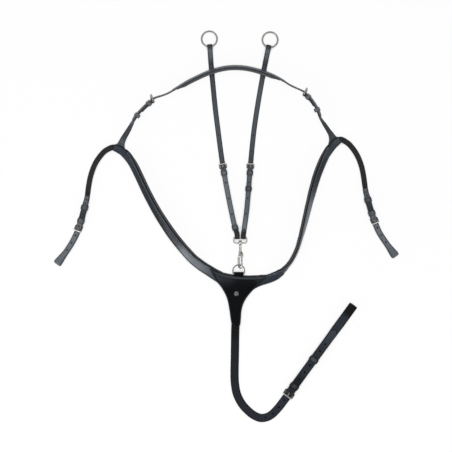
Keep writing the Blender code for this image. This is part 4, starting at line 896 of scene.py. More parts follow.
def padSection(thick, half, overhang, pucker):
    # padded section: flat under the strap, a rolled rim with a sewn groove on the neck side
    way = -1 if overhang < 0 else 1
    reach = abs(overhang)
    look, middleN = padLooks, -touchGap - thick / 2
    k = min(1.0, reach / look["fullReach"])
    roll = min(thick * look["rollThick"], reach * look["rollReach"]) if reach else thick * look["bareRoll"]
    points = [(0.0, -touchGap, 0.0), (half - look["flatIn"], -touchGap - 0.05, 0.0)]
    if reach:
        groove, deep = half + grooveAt(overhang), look["groove"] + pucker
        points += [(groove - 0.5 * k - 0.02, -touchGap - 0.2 * k, 0.1), (groove, -touchGap - deep * k, 0.5),
                   (groove + 0.5 * k + 0.02, -touchGap - 0.25 * k, 0.1)]
    for c, d in turns(75, -165, 11):
        high = thick / 2 + (look["swell"] * k if d > 0 else 0.0)
        points.append((half + reach - roll + roll * c, middleN + high * d, 0.0))
    sag = middleN - thick / 2 + look["sag"] + pucker * 0.3
    points += [(half * 0.5, sag, 0.0), (-half * 0.5, sag, 0.0)]
    roll, out = thick * look["backRoll"], half + look["backPast"]
    points += [(-(out - roll + roll * c), middleN + thick / 2 * d, 0.0) for c, d in turns(-90, 180, 12)]
    points.append((look["backIn"] - half, -touchGap, 0.0))
    return [(w * way, n, m) for w, n, m in points]


def padPiece(node, route, spots, fill, shade=0.0):
    # spots: s, thickness, half width, overhang; puckers follow the stitch pitch
    rings, line, tone, places = [], [], [], []
    for s, thick, half, overhang in spots:
        pucker = padLooks["pucker"] * math.cos(2 * math.pi * s / stitch["pitch"])
        section = padSection(thick, half, overhang, pucker)
        rings.append([route.point(s, n, w) for w, n, _ in section])
        for w, n, m in section:
            onRim = n > -touchGap - thick * 0.55 and abs(w) > half + 1.6
            line.append(m)
            # painted highlight on the rolled rim; elsewhere the piece's own painted light or shade
            tone.append(padLooks["rimTone"] if onRim else shade)
            places.append((s, w, n))
    pad = newObject(pieceName(node), *skin(rings))
    setMasks(pad, edge=0.0, line=line, tone=tone, strapPlace=places)
    dress(pad, "padLeather", node, angle=60, padded=fill)


def endRounded(low, high, step=1.15, run=2.4):
    # places from low to high with close ones at the ends, each with a share of full thickness
    ends = [(d, 0.5 + 0.5 * bulge(d / run)) for d in (0.0, 0.15, 0.5, 1.1, 1.8)]
    inner = int((high - low - 2 * run) / step)
    middle = [(low + run + (high - low - 2 * run) * k / inner, 1.0) for k in range(inner + 1)]
    return [(low + d, share) for d, share in ends] + middle + [(high - d, share) for d, share in reversed(ends)]


def makeBreastSide(label, mirror):
    half, ply, rims = breast["half"], breast["ply"], breast["rims"][label]
    points = [(x, y, roll * breast["flatter"], rise * chestRise) for x, y, roll, rise in breastPoints[label]]
    route = Route(points, half, breast["padThick"] + touchGap)
    stop = route.length - breast["lap"]

    def halfAt(s):
        return breast["endHalf"] + (half - breast["endHalf"]) * clamp(s / breast["endTaper"])

    steps = breast["steps"]
    path = [(route.length * k / steps, ply / 2, halfAt(route.length * k / steps)) for k in range(steps + 1)]
    look = {**breast["look"], "tones": breast["tones"][label], "seam": (mirror, *breast["seam"])}
    strapPiece("breast_strap_" + label, route, path, ply, look)
    spots = []
    for s, share in endRounded(breast["visibleStart"], stop - touchGap):
        # full at the strap's end, thin under the chest piece
        share = share if s < route.length / 2 else 1.0
        thin = ease((s - stop + breast["thinStart"]) / (breast["thinStart"] - breast["thinStop"]))
        thick = breast["padThick"] + (chest["backThick"] - breast["padThick"]) * thin
        thick *= 0.5 + 0.5 * ease((s - breast["visibleStart"]) / breast["padRun"])
        spots.append((s, thick, half - (1 - share) * padLooks["endPull"], mirror * between(rims, s)))
    padPiece("breast_pad_" + label, route, spots, breast["fill"])
    rows = []
    for way in (1, -1):
        rows += rowSpots(route, 3.0, route.length - 30.0, ply - seamSunk,
                         lambda s: way * (halfAt(s) - breast["sewnIn"]))
    rows += rowSpots(route, breast["padStart"] + 4, stop - 4, -touchGap - 0.5,
                     lambda s: mirror * (half + grooveAt(between(rims, s))))
    stitchPiece("breastStitches" + label.capitalize(), rows, "breast_strap_" + label)
    return route


breastRoutes = {"left": makeBreastSide("left", 1), "right": makeBreastSide("right", -1)}
print("breast straps made")


# Chest piece

chestLooks = {
    "crown": 1.1, "crownRun": 9.0, "edgeRun": 1.5, "edgeMask": 0.8, "stitchIn": 2.3, "grid": 2.4,
    "grooveSide": 3.9, "grooveNeck": 7.2, "grooveFade": 1.5, "grooveDeep": 0.45, "grooveWide": 0.55,
    "lineWide": 0.4, "neckTone": 0.7,
    # shine: painted sheen spots, each a place, reach and strength; neckTone is a painted highlight along the neckline
    "shine": (((-48.0, 45.0), 22.0, 0.5), ((-18.0, 41.0), 14.0, 0.25), ((64.0, 36.0), 13.0, 0.35)),
    "rings": (0.12, 0.35, 0.75, 1.2, 1.8, 2.6, 3.3, 3.65, 3.9, 4.15, 4.5, 5.3, 6.3, 6.85, 7.2, 7.55, 8.1, 9.3),
}
# paleTone is a painted highlight along the backing's rolled edge, paleRun its reach
backLooks = {"edgeRun": 1.3, "grid": 5.0, "rings": (0.15, 0.5, 1.0, 1.6, 3.0), "paleRun": 4.0, "paleTone": 0.4}
plateSteps = {"edge": 1.1, "underRun": 1.2, "close": 0.12, "sparseFrom": 3, "rowGap": 0.87, "inner": 0.6}
chestUp, chestOut = Vector((0, 0, 1)), Vector((1, 0, 0))
frontLow = chest["backThick"] + touchGap + breast["ply"] + touchGap


def lineDistance(p, line):
    best = math.inf
    for a, b in zip(line, line[1:]):
        ab = b - a
        t = clamp((p - a).dot(ab) / ab.length_squared)
        best = min(best, (a + ab * t - p).length_squared)
    return math.sqrt(best)


def insideOf(p, line):
    hit = False
    for a, b in zip(line, line[1:]):
        if (a.y > p.y) != (b.y > p.y) and p.x < (b.x - a.x) * (p.y - a.y) / (b.y - a.y) + a.x:
            hit = not hit
    return hit


def platePoints(ring, spacing, rings):
    # points of a plate with their distance to its edge: the edge, rings along it and a grid in the middle
    count, closed = len(ring), ring + ring[:1]
    turn = 1 if sum(a.x * b.y - b.x * a.y for a, b in zip(closed, closed[1:])) > 0 else -1
    points = [(p, 0.0) for p in ring]
    for d in rings:
        for i in range(0, count, 1 if d < plateSteps["sparseFrom"] else 2):
            along = (ring[(i + 1) % count] - ring[i - 1]).normalized()
            spot = ring[i] + Vector((-along.y, along.x)) * d * turn
            if abs(lineDistance(spot, closed) - d) < plateSteps["close"]:
                points.append((spot, d))
    deep = max(rings) + spacing * plateSteps["inner"]
    highX, highY = max(p.x for p in ring), max(p.y for p in ring)
    x, row = min(p.x for p in ring), 0
    while x < highX:
        y = min(p.y for p in ring) + (spacing / 2 if row % 2 else 0)
        while y < highY:
            spot = Vector((x, y))
            d = lineDistance(spot, closed)
            if d > deep and insideOf(spot, closed):
                points.append((spot, d))
            y += spacing
        x += spacing * plateSteps["rowGap"]
        row += 1
    return points


def plate(outline, low, thick, levelOf, spacing, rings):
    # closed plate over a flat outline; levelOf gives the top's level from the distance to its edge
    ring = []
    for a, b in zip(outline, outline[1:] + outline[:1]):
        steps = max(1, math.ceil((b - a).length / plateSteps["edge"]))
        ring += [a.lerp(b, k / steps) for k in range(steps)]
    points = platePoints(ring, spacing, rings)
    edges = [(i, (i + 1) % len(ring)) for i in range(len(ring))]
    coords, _, faces, origin, _, _ = delaunay_2d_cdt([p for p, _ in points], edges, [], 1, 1e-4)
    depths = [points[o[0]][1] if o else 0.0 for o in origin]
    middle = low + thick / 2
    verts = [Vector((*spot, middle if d == 0 else levelOf(spot, d))) for spot, d in zip(coords, depths)]
    below = list(range(len(verts)))
    for i, (spot, d) in enumerate(zip(coords, depths)):
        if d > 0:
            below[i] = len(verts)
            verts.append(Vector((*spot, middle - thick / 2 * bulge(d / plateSteps["underRun"]))))
    faceList = []
    for face in faces:
        faceList += [tuple(face), tuple(below[i] for i in reversed(face))]
    return verts, faceList, depths + [d for d in depths if d > 0]


def chestEdge(start, end, steps=6):
    tail = (0.0, -chest["tail"])
    return smoothCurve([*start, tail], steps)[:-1] + smoothCurve([tail, *chest["left"], end], steps)


def makeBacking():
    # its ends lie over the breast straps' ends
    left, right = breastRoutes["left"], breastRoutes["right"]
    atLeft, atRight = left.length - chest["backLap"], right.length - chest["backLap"]
    lowSide = breast["half"] + chest["backPast"]
    leftSide, rightSide = (breast["half"] + breast["rims"][label][-1][1] for label in ("left", "right"))
    outline = smoothCurve([left.point(atLeft, 0, leftSide).to_2d(), *chest["backNeck"],
                           right.point(atRight, 0, -rightSide).to_2d()], 6)
    outline += chestEdge((right.point(atRight, 0, lowSide).to_2d(), *chest["right"]),
                         left.point(atLeft, 0, -lowSide).to_2d())
    look, thick = backLooks, chest["backThick"]
    verts, faces, depths = plate(outline, 0.0, thick, lambda _, d: thick / 2 * (1 + bulge(d / look["edgeRun"])),
                                 look["grid"], look["rings"])
    backing = newObject("chestBacking", verts, faces)
    # painted highlight along the rolled edge
    setMasks(backing, edge=0.0, line=0.0, tone=[look["paleTone"] if d < look["paleRun"] else 0.0 for d in depths])
    dress(backing, "padLeather", "chest_backing", angle=50, padded=chest["fill"])


def makeFront():
    look, low, thick = chestLooks, frontLow, chest["frontThick"]
    neck = smoothCurve(chest["frontNeck"], 6)
    outline = neck + chestEdge((*chest["frontRight"], *chest["right"][2:]), chest["frontLeft"])

    def grooveOf(spot, d):
        # nearness of the neckline, and how far from the edge the sewn groove lies
        near = math.exp(-max(lineDistance(spot, neck) - d, 0.0) / look["grooveFade"])
        return near, look["grooveSide"] + (look["grooveNeck"] - look["grooveSide"]) * near

    def frontLevel(spot, d):
        _, groove = grooveOf(spot, d)
        level = low + thick / 2 * (1 + bulge(d / look["edgeRun"]))
        level -= look["grooveDeep"] * hump((d - groove) / look["grooveWide"])
        return level + look["crown"] * ease((d - groove) / look["crownRun"])

    verts, faces, depths = plate(outline, low, thick, frontLevel, look["grid"], look["rings"])
    front = newObject("chestFront", verts, faces)
    line, tone = [], []
    for spot, d in zip((v.to_2d() for v in verts), depths):
        near, groove = grooveOf(spot, d)
        line.append(hump((d - groove) / look["lineWide"]))
        # painted sheen near the corners, and a painted highlight band along the neckline
        shine = sum(share * hump((spot - Vector(corner)).length / reach) for corner, reach, share in look["shine"])
        tone.append(look["neckTone"] * near if look["edgeMask"] < d < groove else shine)
    setMasks(front, edge=[max(0.0, 1 - d / look["edgeMask"]) for d in depths], line=line, tone=tone)
    bore = chest["postRadius"] + touchGap
    cutAway(front, [turned(Vector(), chestUp, chestOut, ((low - 1, bore), (low + thick + 3, bore)), 20)])
    dress(front, "chestLeather", "chest_front", "chest_filler")

    # stitches walk round the outline, a little inside it
    rows, inset = [], look["stitchIn"]
    walk, carry = outline + outline[:1], 0.0
    for a, b in zip(walk, walk[1:]):
        gap = (b - a).length
        along = (b - a) / gap
        while carry < gap:
            for way in (1, -1):
                spot = a + along * carry + Vector((along.y, -along.x)) * inset * way
                if lineDistance(spot, walk) > inset - 0.3 and insideOf(spot, walk):
                    rows.append((Vector((*spot, low + thick - seamSunk)), along.to_3d(), chestUp))
            carry += stitch["pitch"]
        carry -= gap
    stitchPiece("chestStitches", rows, "chest_front")


def makeStud():
    post, wide = chest["postRadius"], chest["studRadius"]
    headLow = frontLow + chest["frontThick"] + touchGap + chestLooks["crown"]
    profile = [(-chestLooks["crown"] - 3.5, post), (-0.02, post), (0.0, wide - 0.25), (0.25, wide), (0.7, wide),
               (0.95, wide - 0.35), (0.9, wide - 1.0)]
    profile += [(0.85 + (chest["studDome"] - 0.4) * d, max((wide - 1.25) * c, 0.05)) for c, d in turns(0, 90, 12)]
    stud = newObject("chestStud", *turned(Vector((0, 0, headLow)), chestUp, chestOut, profile, 48))
    dress(stud, "studSteel", "chest_stud", angle=50)


makeBacking()
makeFront()
makeStud()
print("chest piece made")


# Buckles, prongs and keepers

foldSlack = 0.3
keeperWall = 1.6
keeperPlay = 0.6
slidePlay = 0.7
legClose = 6.0
layDown = 26.0
prong = {"thick": 2.0, "half": 1.4, "play": 0.2, "over": 1.4, "slotPlay": 0.4, "wrap": 160.0, "slot": 3.3,
         "dark": 0.6,
         "taper": ((0.0, 0.25, 0.35), (0.02, 0.42, 0.6), (0.05, 0.55, 0.78), (0.1, 0.66, 0.9),
                   (0.2, 0.76, 1.0), (0.35, 0.86, 1.0), (0.5, 0.94, 1.0), (0.7, 1.0, 1.0), (1.0, 1.0, 1.0))}
# dark is each buckle's share of painted shade on the frame's sides and heel bar
buckles = {
    "martingale": {"wire": 1.5, "length": 11.5, "lean": 20.0, "room": 1.1, "hole": 1.9, "fixedAt": 6.4,
                   "dark": 0.95},
    "wither": {"wire": 1.5, "length": 16.5, "lean": 76.0, "room": 0.9, "hole": 1.9, "fixedAt": 6.8,
               "down": 50.0, "dark": 0.3},
    "saddle": {"wire": 1.5, "length": 15.0, "lean": 22.0, "room": 0.8, "hole": 2.0, "fixedAt": 7.4,
               "down": 18.0, "dark": 0.9},
    "girth": {"wire": 1.8, "length": 15.2, "lean": 22.0, "room": 0.9, "hole": 2.3, "fixedAt": 11.8,
              "dark": 0.9},
}
# where the painted highlight on the front bar begins; the rest of the frame is painted darker
frameTones = {"from": 0.8, "run": 0.6}           # where the front bar turns bright, in corner radii
frameFull = {"from": 0.55, "run": 0.4, "wide": 0.08, "flat": 0.02}
# painted light on keepers: top lighter, falling off towards the sides, steep faces darker, never below least
keeperLooks = {"corner": 0.9, "step": 1.6, "top": 0.3, "fall": 0.75, "steep": 3.75, "steepFrom": 0.75, "least": -0.95}


class BuckledLap:
    # levels and places where a billet lies over a strap folded round a buckle's heel bar;
    # way is +1 where the carrying strap runs on along the route
    def __init__(self, name, kind, carrierPly, billetPly, half, core=0.0, under=0.0):
        self.name, self.buckle, self.half = name, buckles[kind], half
        self.wire, self.lean, length = self.buckle["wire"], math.radians(self.buckle["lean"]), self.buckle["length"]
        self.carrierPly, self.billetPly = carrierPly, billetPly
        self.side = half + self.buckle["room"] + 2 * self.wire
        self.foldRadius = self.wire + foldSlack + carrierPly / 2
        inside = core + 2 * touchGap if core else touchGap
        self.leg = (inside + carrierPly) / 2
        self.overHeel = self.foldRadius + carrierPly / 2 + touchGap + billetPly / 2
        self.overLegs = self.leg + carrierPly / 2 + touchGap + billetPly / 2
        self.frontU, self.frontN = -length * math.cos(self.lean), length * math.sin(self.lean)
        self.underFront = min(self.frontN - self.wire - touchGap - billetPly / 2, self.overHeel)
        self.underLevel = -self.foldRadius - carrierPly / 2 - touchGap - under / 2
        self.low = self.underLevel - under / 2 if under else -self.leg - carrierPly / 2
        self.high = self.overLegs + billetPly / 2
        self.reach = -self.low + slidePlay + keeperWall
        self.down = self.buckle.get("down", layDown)

    def onRoute(self, route, heel, way):
        self.route, self.heel, self.way = route, heel, way

    def s(self, u):
        return self.heel + self.way * u

    def tongue(self):
        # the prong's tip, where it leaves the heel bar, its angle there and the radius of its eye
        reach = self.buckle["length"] + prong["over"]
        lift = self.wire + touchGap + prong["thick"] / 2
        radius = self.wire + prong["play"] + prong["thick"] / 2
        tipU = lift * math.sin(self.lean) - reach * math.cos(self.lean)
        tipN = lift * math.cos(self.lean) + reach * math.sin(self.lean)
        touch = math.atan2(tipN, tipU) - math.acos(radius / math.hypot(tipU, tipN))
        return (tipU, tipN), (radius * math.cos(touch), radius * math.sin(touch)), touch, radius

    def billetLevel(self, u):
        run, level = (legClose, self.overLegs) if u >= 0 else (self.frontU, self.underFront)
        return self.overHeel + (level - self.overHeel) * ease(u / run)

    def holeU(self):
        (u0, n0), (u1, n1), _, _ = self.tongue()
        spots = [(u0 + (u1 - u0) * k / 40, n0 + (n1 - n0) * k / 40) for k in range(41)]
        return min(spots, key=lambda spot: abs(spot[1] - self.billetLevel(spot[0])))[0]

    def billetKnots(self, tipU, freeN):
        knots = [(tipU, self.overLegs), (legClose, self.overLegs), (0.0, self.overHeel),
                 (self.frontU, self.underFront), (self.frontU - self.down, freeN)]
        return [(self.s(u), n) for u, n in knots]

    def foldRound(self, half):
        upper = [(self.s(legClose), self.leg), (self.s(0), self.foldRadius)]
        lower = [(s, -n) for s, n in reversed(upper)]
        arc = foldPath(self.heel, 0.0, self.foldRadius, 90, 180 * self.way, half)
        return runPath(upper, half) + arc + runPath(lower, half)

    def foldBack(self, jointS, onward, half):
        # from a joint on the underside round the heel bar and on along the top
        closed = self.s(legClose)
        path = runPath([(jointS, -self.leg), (closed, -self.leg), (self.heel, -self.foldRadius)], half)
        path += foldPath(self.heel, 0.0, self.foldRadius, 270, -180, half)
        return path + runPath([(self.heel, self.foldRadius), (closed, self.leg), *onward], half)

    def slotCutter(self):
        eye = self.wire + prong["play"] + prong["thick"]
        reach = self.foldRadius + self.carrierPly
        sides = sorted((self.s(-reach), self.s(eye + prong["slotPlay"] + 0.6)))
        return blockCutter(self.route, sides, (-reach, reach), prong["half"] + prong["slotPlay"])

    def holeCutters(self, pitch, steps, freeN, low=-9.0):
        # the sunk rim follows the level of the billet's face at each hole
        cutters = []
        for k in steps:
            u = self.holeU() + pitch * k
            if u < self.frontU:
                level = self.underFront + (freeN - self.underFront) * ease((self.frontU - u) / self.down)
            else:
                level = self.billetLevel(u)
            cutters.append(holeCutter(self.route, self.s(u), level + self.billetPly / 2, self.billetPly,
                                      self.buckle["hole"], prong["slot"] if k == 0 else 0.0, low))
        return cutters

    def makeFrame(self):
        # drawn wire frame with round corners, its front bar a little fuller and flatter
        wire, length, sides = self.wire, self.buckle["length"], 16
        wide, corner = self.side - wire, 1.5 * wire
        up = self.route.frame(self.heel)[1][2]
        points, radii, tone = [], [], []
        for out, w in roundedLoop(0.0, length, -wide, wide, corner, 8, 6):
            # painted highlight on the front bar, painted shade on the rest of the frame
            bright = ease((out - length + corner * frameTones["from"]) / (corner * frameTones["run"]))
            full = ease((out - length * frameFull["from"]) / (length * frameFull["run"]))
            tone += [-self.buckle["dark"] * (1 - bright)] * sides
            points.append(self.route.point(self.s(-out * math.cos(self.lean)), out * math.sin(self.lean), w))
            radii.append((wire * (1 + frameFull["wide"] * full), wire * (1 - frameFull["flat"] * full)))
        node = self.name + "_buckle"
        frame = newObject(pieceName(node), *tube(points, [up] * len(points), radii, sides, closed=True))
        setMasks(frame, tone=tone)
        dress(frame, "polishedSteel", node, angle=60)

    def makeProng(self):
        # tapered tongue that wraps round the heel bar, its tip resting on the front bar
        (u0, n0), (u1, n1), touch, radius = self.tongue()
        half, thick = prong["half"], prong["thick"] / 2
        path = [(u0 + (u1 - u0) * t, n0 + (n1 - n0) * t, wide, high) for t, wide, high in prong["taper"]]
        around = turns(math.degrees(touch), -math.degrees(touch) - prong["wrap"], 21)[1:]
        path += [(radius * c, radius * d, 1.0, 1.0) for c, d in around[:-2]]
        path += [(radius * c, radius * d, 0.8, 0.8) for c, d in around[-2:]]
        points = [self.route.point(self.s(u), n) for u, n, _, _ in path]
        across = self.route.frame(self.heel)[1][1]
        ups = [(b - a).cross(across) for a, b in zip(points[:1] + points, points[1:] + points[-1:])]
        node = self.name + "_prong"
        tongue = newObject(pieceName(node), *tube(points, ups, [(half * w, thick * h) for _, _, w, h in path], 14))
        # painted shade: the whole prong is darkened by prong dark
        setMasks(tongue, tone=-prong["dark"])
        dress(tongue, "polishedSteel", node, angle=70)

    def makeKeeper(self, node, u, length, play, shade):
        # leather loop with creased edges, rounded over the corners of the straps in it, with painted light: a lighter
        # top and darker faces that turn away from straight up
        look, wall, corner = keeperLooks, keeperWall, keeperLooks["corner"]
        low, high, side = self.low - play, self.high + play, self.half + play
        around = []
        for n, w, start in ((high, side, 0), (high, -side, 90), (low, -side, 180), (low, side, 270)):
            cn = n - math.copysign(corner, n - (low + high) / 2)
            cw = w - math.copysign(corner, w)
            around += [(cn + corner * d, cw + corner * c, d, c) for c, d in turns(start, 90, 6)]
        full = []
        for (n0, w0, dn, dw), (n1, w1, _, _) in zip(around, around[1:] + around[:1]):
            gap = math.hypot(n1 - n0, w1 - w0)
            count = int(gap / look["step"]) if gap > 2.0 else 1
            full += [(n0 + (n1 - n0) * k / count, w0 + (w1 - w0) * k / count, dn, dw) for k in range(count)]
        # section: along, up from the strap, edge and line masks
        edge0 = [(0.0, wall / 2, 1, 0), (0.15, wall - 0.15, 1, 0), (0.5, wall, 0.6, 0), (1.0, wall, 0.1, 0),
                 (1.25, wall - 0.2, 0, 1), (1.5, wall, 0.05, 0), (length * 0.35, wall + 0.12, 0, 0)]
        section = [*edge0, (length / 2, wall + 0.15, 0, 0), *((length - a, t, e, m) for a, t, e, m in reversed(edge0)),
                   (length - 0.2, 0.05, 0.6, 0), (length / 2, 0.0, 0, 0), (0.2, 0.05, 0.6, 0)]
        _, (_, across, off) = self.route.frame(self.s(u))
        rings, tone = [], []
        for n, w, dn, dw in full:
            rings.append([self.route.point(self.s(u + a), n + dn * t, w + dw * t) for a, t, _, _ in section])
            # painted shade on faces turned away from straight up, painted highlight along the top's middle
            steep = max(look["steepFrom"] - (across * dw + off * dn).z, 0.0)
            face = shade + look["top"] - look["fall"] * (w / side) ** 2 - look["steep"] * steep
            tone += [max(look["least"], face)] * len(section)
        keeper = newObject(pieceName(node), *skin(rings, closed=True))
        setMasks(keeper, edge=[e for _, _, e, _ in section] * len(full), line=[m for _, _, _, m in section] * len(full),
                 tone=tone)
        dress(keeper, "keeperLeather", node, angle=50)

    def makeFittings(self, length, slideU, fixedShade, slideShade):
        # frame, prong, sewn keeper and sliding keeper
        kind, *side = self.name.split("_")
        self.makeFrame()
        self.makeProng()
        self.makeKeeper("_".join([kind, "fixed_keeper", *side]), self.buckle["fixedAt"], length, keeperPlay, fixedShade)
        self.makeKeeper("_".join([kind, "sliding_keeper", *side]), slideU, length, slidePlay, slideShade)


# Wither strap, shoulder straps and the wither pad

lightPly = 2.2
wither = {
    "half": 7.75, "bandHalf": 11.0, "padThick": 4.5, "padSwell": 1.45, "padTaper": 26.0, "padShade": 0.75,
    "flareRun": 22.0, "tabTuck": 7.0, "bandTaper": 20.0,
    # painted shade at places along each shoulder strap; padShade makes the wither pad paler, partly its own colour and
    # partly painted light on its upturned side; shades is painted light on the keepers
    "tones": {"left": ((0, 0.0), (16, -0.1), (30, -0.6), (62, -0.65), (84, -0.1)),
              "right": ((0, -0.35), (22, -0.5), (34, -0.7), (60, -0.7), (84, -0.1))},
    "holePitch": 22.0, "holeSteps": range(-1, 3), "keeper": 10.0, "slide": {"left": 50.0, "right": 47.0},
    "return": 40.0, "tip": 72.0, "sewnIn": 1.7, "fill": 0.6,
    "tabSeam": 5.0, "tabSeamWide": 0.62, "holeLow": -4.0, "shades": (0.7, 0.7),
    "heels": ((-216.8, 499.0), (175.8, 517.0)), "bandEnds": ((-172.0, 521.0), (131.0, 546.0)),
    "tabs": {"left": (14.5, 14.5), "right": (14.5, 18.5)},
    "look": {"finish": "strapLeather", "crease": 1.7, "depth": 0.22, "crown": 0.12, "spread": 0.3},
}
elastic = {"thick": 2.0, "half": 6.5, "spread": 0.8, "sewnSpread": 0.2, "sewnRun": 8.0, "tuck": 12.0,
           "ribs": 7, "rib": 0.09, "step": 1.5}
witherPoints = (
    (-296.5, 396.0, -4, 1, 0), (-290.5, 406.5, -28, 1, 0), (-284.5, 416.0, -32, 0.8, 0),
    (-278.5, 425.5, -40, 0.4, 0), (-272.0, 437.0, -52, 0, 0), (-265.5, 449.0, -64, 0, 0),
    (-256.5, 461.5, -69, 0, 0), (-245.5, 474.5, -70, 0, 0), (-233.5, 486.5, -71, 0, 0),
    (-216.8, 499.5, -72, 0, 0), (-191.5, 511.0, -74, 0, 0), (-175.5, 519.5, -75, 0, 0),
    (-160.0, 529.0, -75, 0, 1), (-129.5, 548.0, -75, 0, 1), (-103.0, 561.5, -75, 0, 1),
    (-75.0, 574.0, -74, 0, 1), (-46.5, 583.0, -73, 0, 1), (-22.5, 587.5, -73, 0, 1),
    (1.5, 588.5, -73, 0, 1), (25.5, 586.5, -73, 0, 1), (49.0, 581.5, -73, 0, 1),
    (72.0, 574.5, -73, 0, 1), (94.0, 566.0, -75, 0, 1), (110.5, 557.5, -75, 0, 1),
    (125.5, 548.5, -75, 0, 1), (140.5, 538.5, -75, 0, 1), (156.0, 529.0, -76, 0, 0),
    (172.5, 519.5, -74, 0, 0), (186.5, 508.5, -72, 0, 0), (196.0, 497.5, -71, 0, 0),
    (204.0, 485.0, -70, 0, 0), (210.0, 472.5, -69, 0, 0), (217.0, 455.0, -66, 0, 0),
    (222.5, 446.0, -60, 0, 0), (228.0, 438.0, -50, 0, 0), (234.5, 428.5, -45, 0.4, 0),
    (240.5, 419.5, -38, 0.8, 0), (247.0, 410.0, -8, 1, 0))


def makeWithers():
    half, taper, bandHalf, table = wither["half"], wither["bandTaper"], wither["bandHalf"], lightPly / 2
    laps = [BuckledLap("wither_" + label, "wither", lightPly, lightPly, half) for label in ("left", "right")]
    low = max(laps[0].reach, wither["padThick"] + touchGap)
    tabRise = breast["padThick"] - elastic["thick"] - touchGap - lightPly / 2 - laps[0].leg - low
    tuck = breast["half"] - wither["tabTuck"]
    start = breastRoutes["left"].point(wither["tabs"]["left"][0], 0.0, tuck)
    end = breastRoutes["right"].point(wither["tabs"]["right"][0], 0.0, -tuck)
    inner = [(x, y, roll, tabRise * tab + lightPly * band) for x, y, roll, tab, band in witherPoints]
    route = Route([(start.x, start.y, 0, tabRise), *inner, (end.x, end.y, 0, tabRise)], laps[0].side, low)
    for lap, spot, way in zip(laps, wither["heels"], (-1, 1)):
        lap.onRoute(route, route.nearest(*spot), way)
    first, last = (route.nearest(*spot) for spot in wither["bandEnds"])

    knots = laps[0].billetKnots(wither["tip"], table) + laps[1].billetKnots(wither["tip"], table)[::-1]
    widened = []
    for s, n, h in runPath(knots, half):
        widened.append((s, n, h + (bandHalf - h) * ease(min(s - first, last - s) / taper)))
    widened = roundTip(roundTip(widened)[::-1])[::-1]
    cutters = []
    for lap in laps:
        cutters += lap.holeCutters(wither["holePitch"], wither["holeSteps"], table, wither["holeLow"])
    strapPiece("wither_strap", route, widened, lightPly, wither["look"], cutters)

    spots = []
    for s, share in endRounded(first + taper, last - taper):
        run = ease(min(s - first - taper, last - taper - s) / wither["padTaper"])
        thick = wither["padThick"] * wither["padSwell"] * (0.25 + 0.75 * run) * (0.7 + 0.3 * share)
        spots.append((s, thick, bandHalf * (0.86 + 0.14 * run) - (1 - share) * 0.5, 0.0))
    padPiece("wither_pad", route, spots, wither["fill"], wither["padShade"])
    rows = []
    for way in (1, -1):
        rows += rowSpots(route, first + 8, last - 8, lightPly - seamSunk, way * (bandHalf - wither["sewnIn"]))
    stitchPiece("witherStitches", rows, "wither_pad")
    makeShoulder(laps[0], "left", 0.0)
    makeShoulder(laps[1], "right", route.length)


def makeShoulder(lap, label, tabS):
    # flared tab under the breast strap, then up to the buckle and back along its underside
    way, half, (_, tabHalf), flare = lap.way, lap.half, wither["tabs"][label], wither["flareRun"]
    path = []
    for k in range(18):
        t = k / 18
        path.append((tabS - way * flare * t, lap.leg, half + (tabHalf - half) * (1 - t) ** 2))
    closed = lap.s(legClose)
    path += runPath([(tabS - way * flare, lap.leg), (closed, lap.leg)], half)[:-1]
    path += lap.foldRound(half)
    path += runPath([(closed, -lap.leg), (lap.s(wither["return"]), -lap.leg)], half)[1:]
    tones = sorted((tabS - way * s, tone) for s, tone in wither["tones"][label])
    strapPiece("shoulder_strap_" + label, lap.route, path, lightPly,
               {**wither["look"], "flip": way > 0, "tones": tones}, [lap.slotCutter()])
    lap.makeFittings(wither["keeper"], wither["slide"][label], *wither["shades"])
    spots = crossSpots(lap.route, tabS - way * wither["tabSeam"], lap.leg + lightPly / 2 - seamSunk,
                       [tabHalf * wither["tabSeamWide"] * (k / 3 - 1) for k in range(7)])
    stitchPiece("shoulderStitches" + label.capitalize(), spots, "shoulder_strap_" + label)


makeWithers()
print("wither and shoulder straps made")


# Elastics and saddle straps

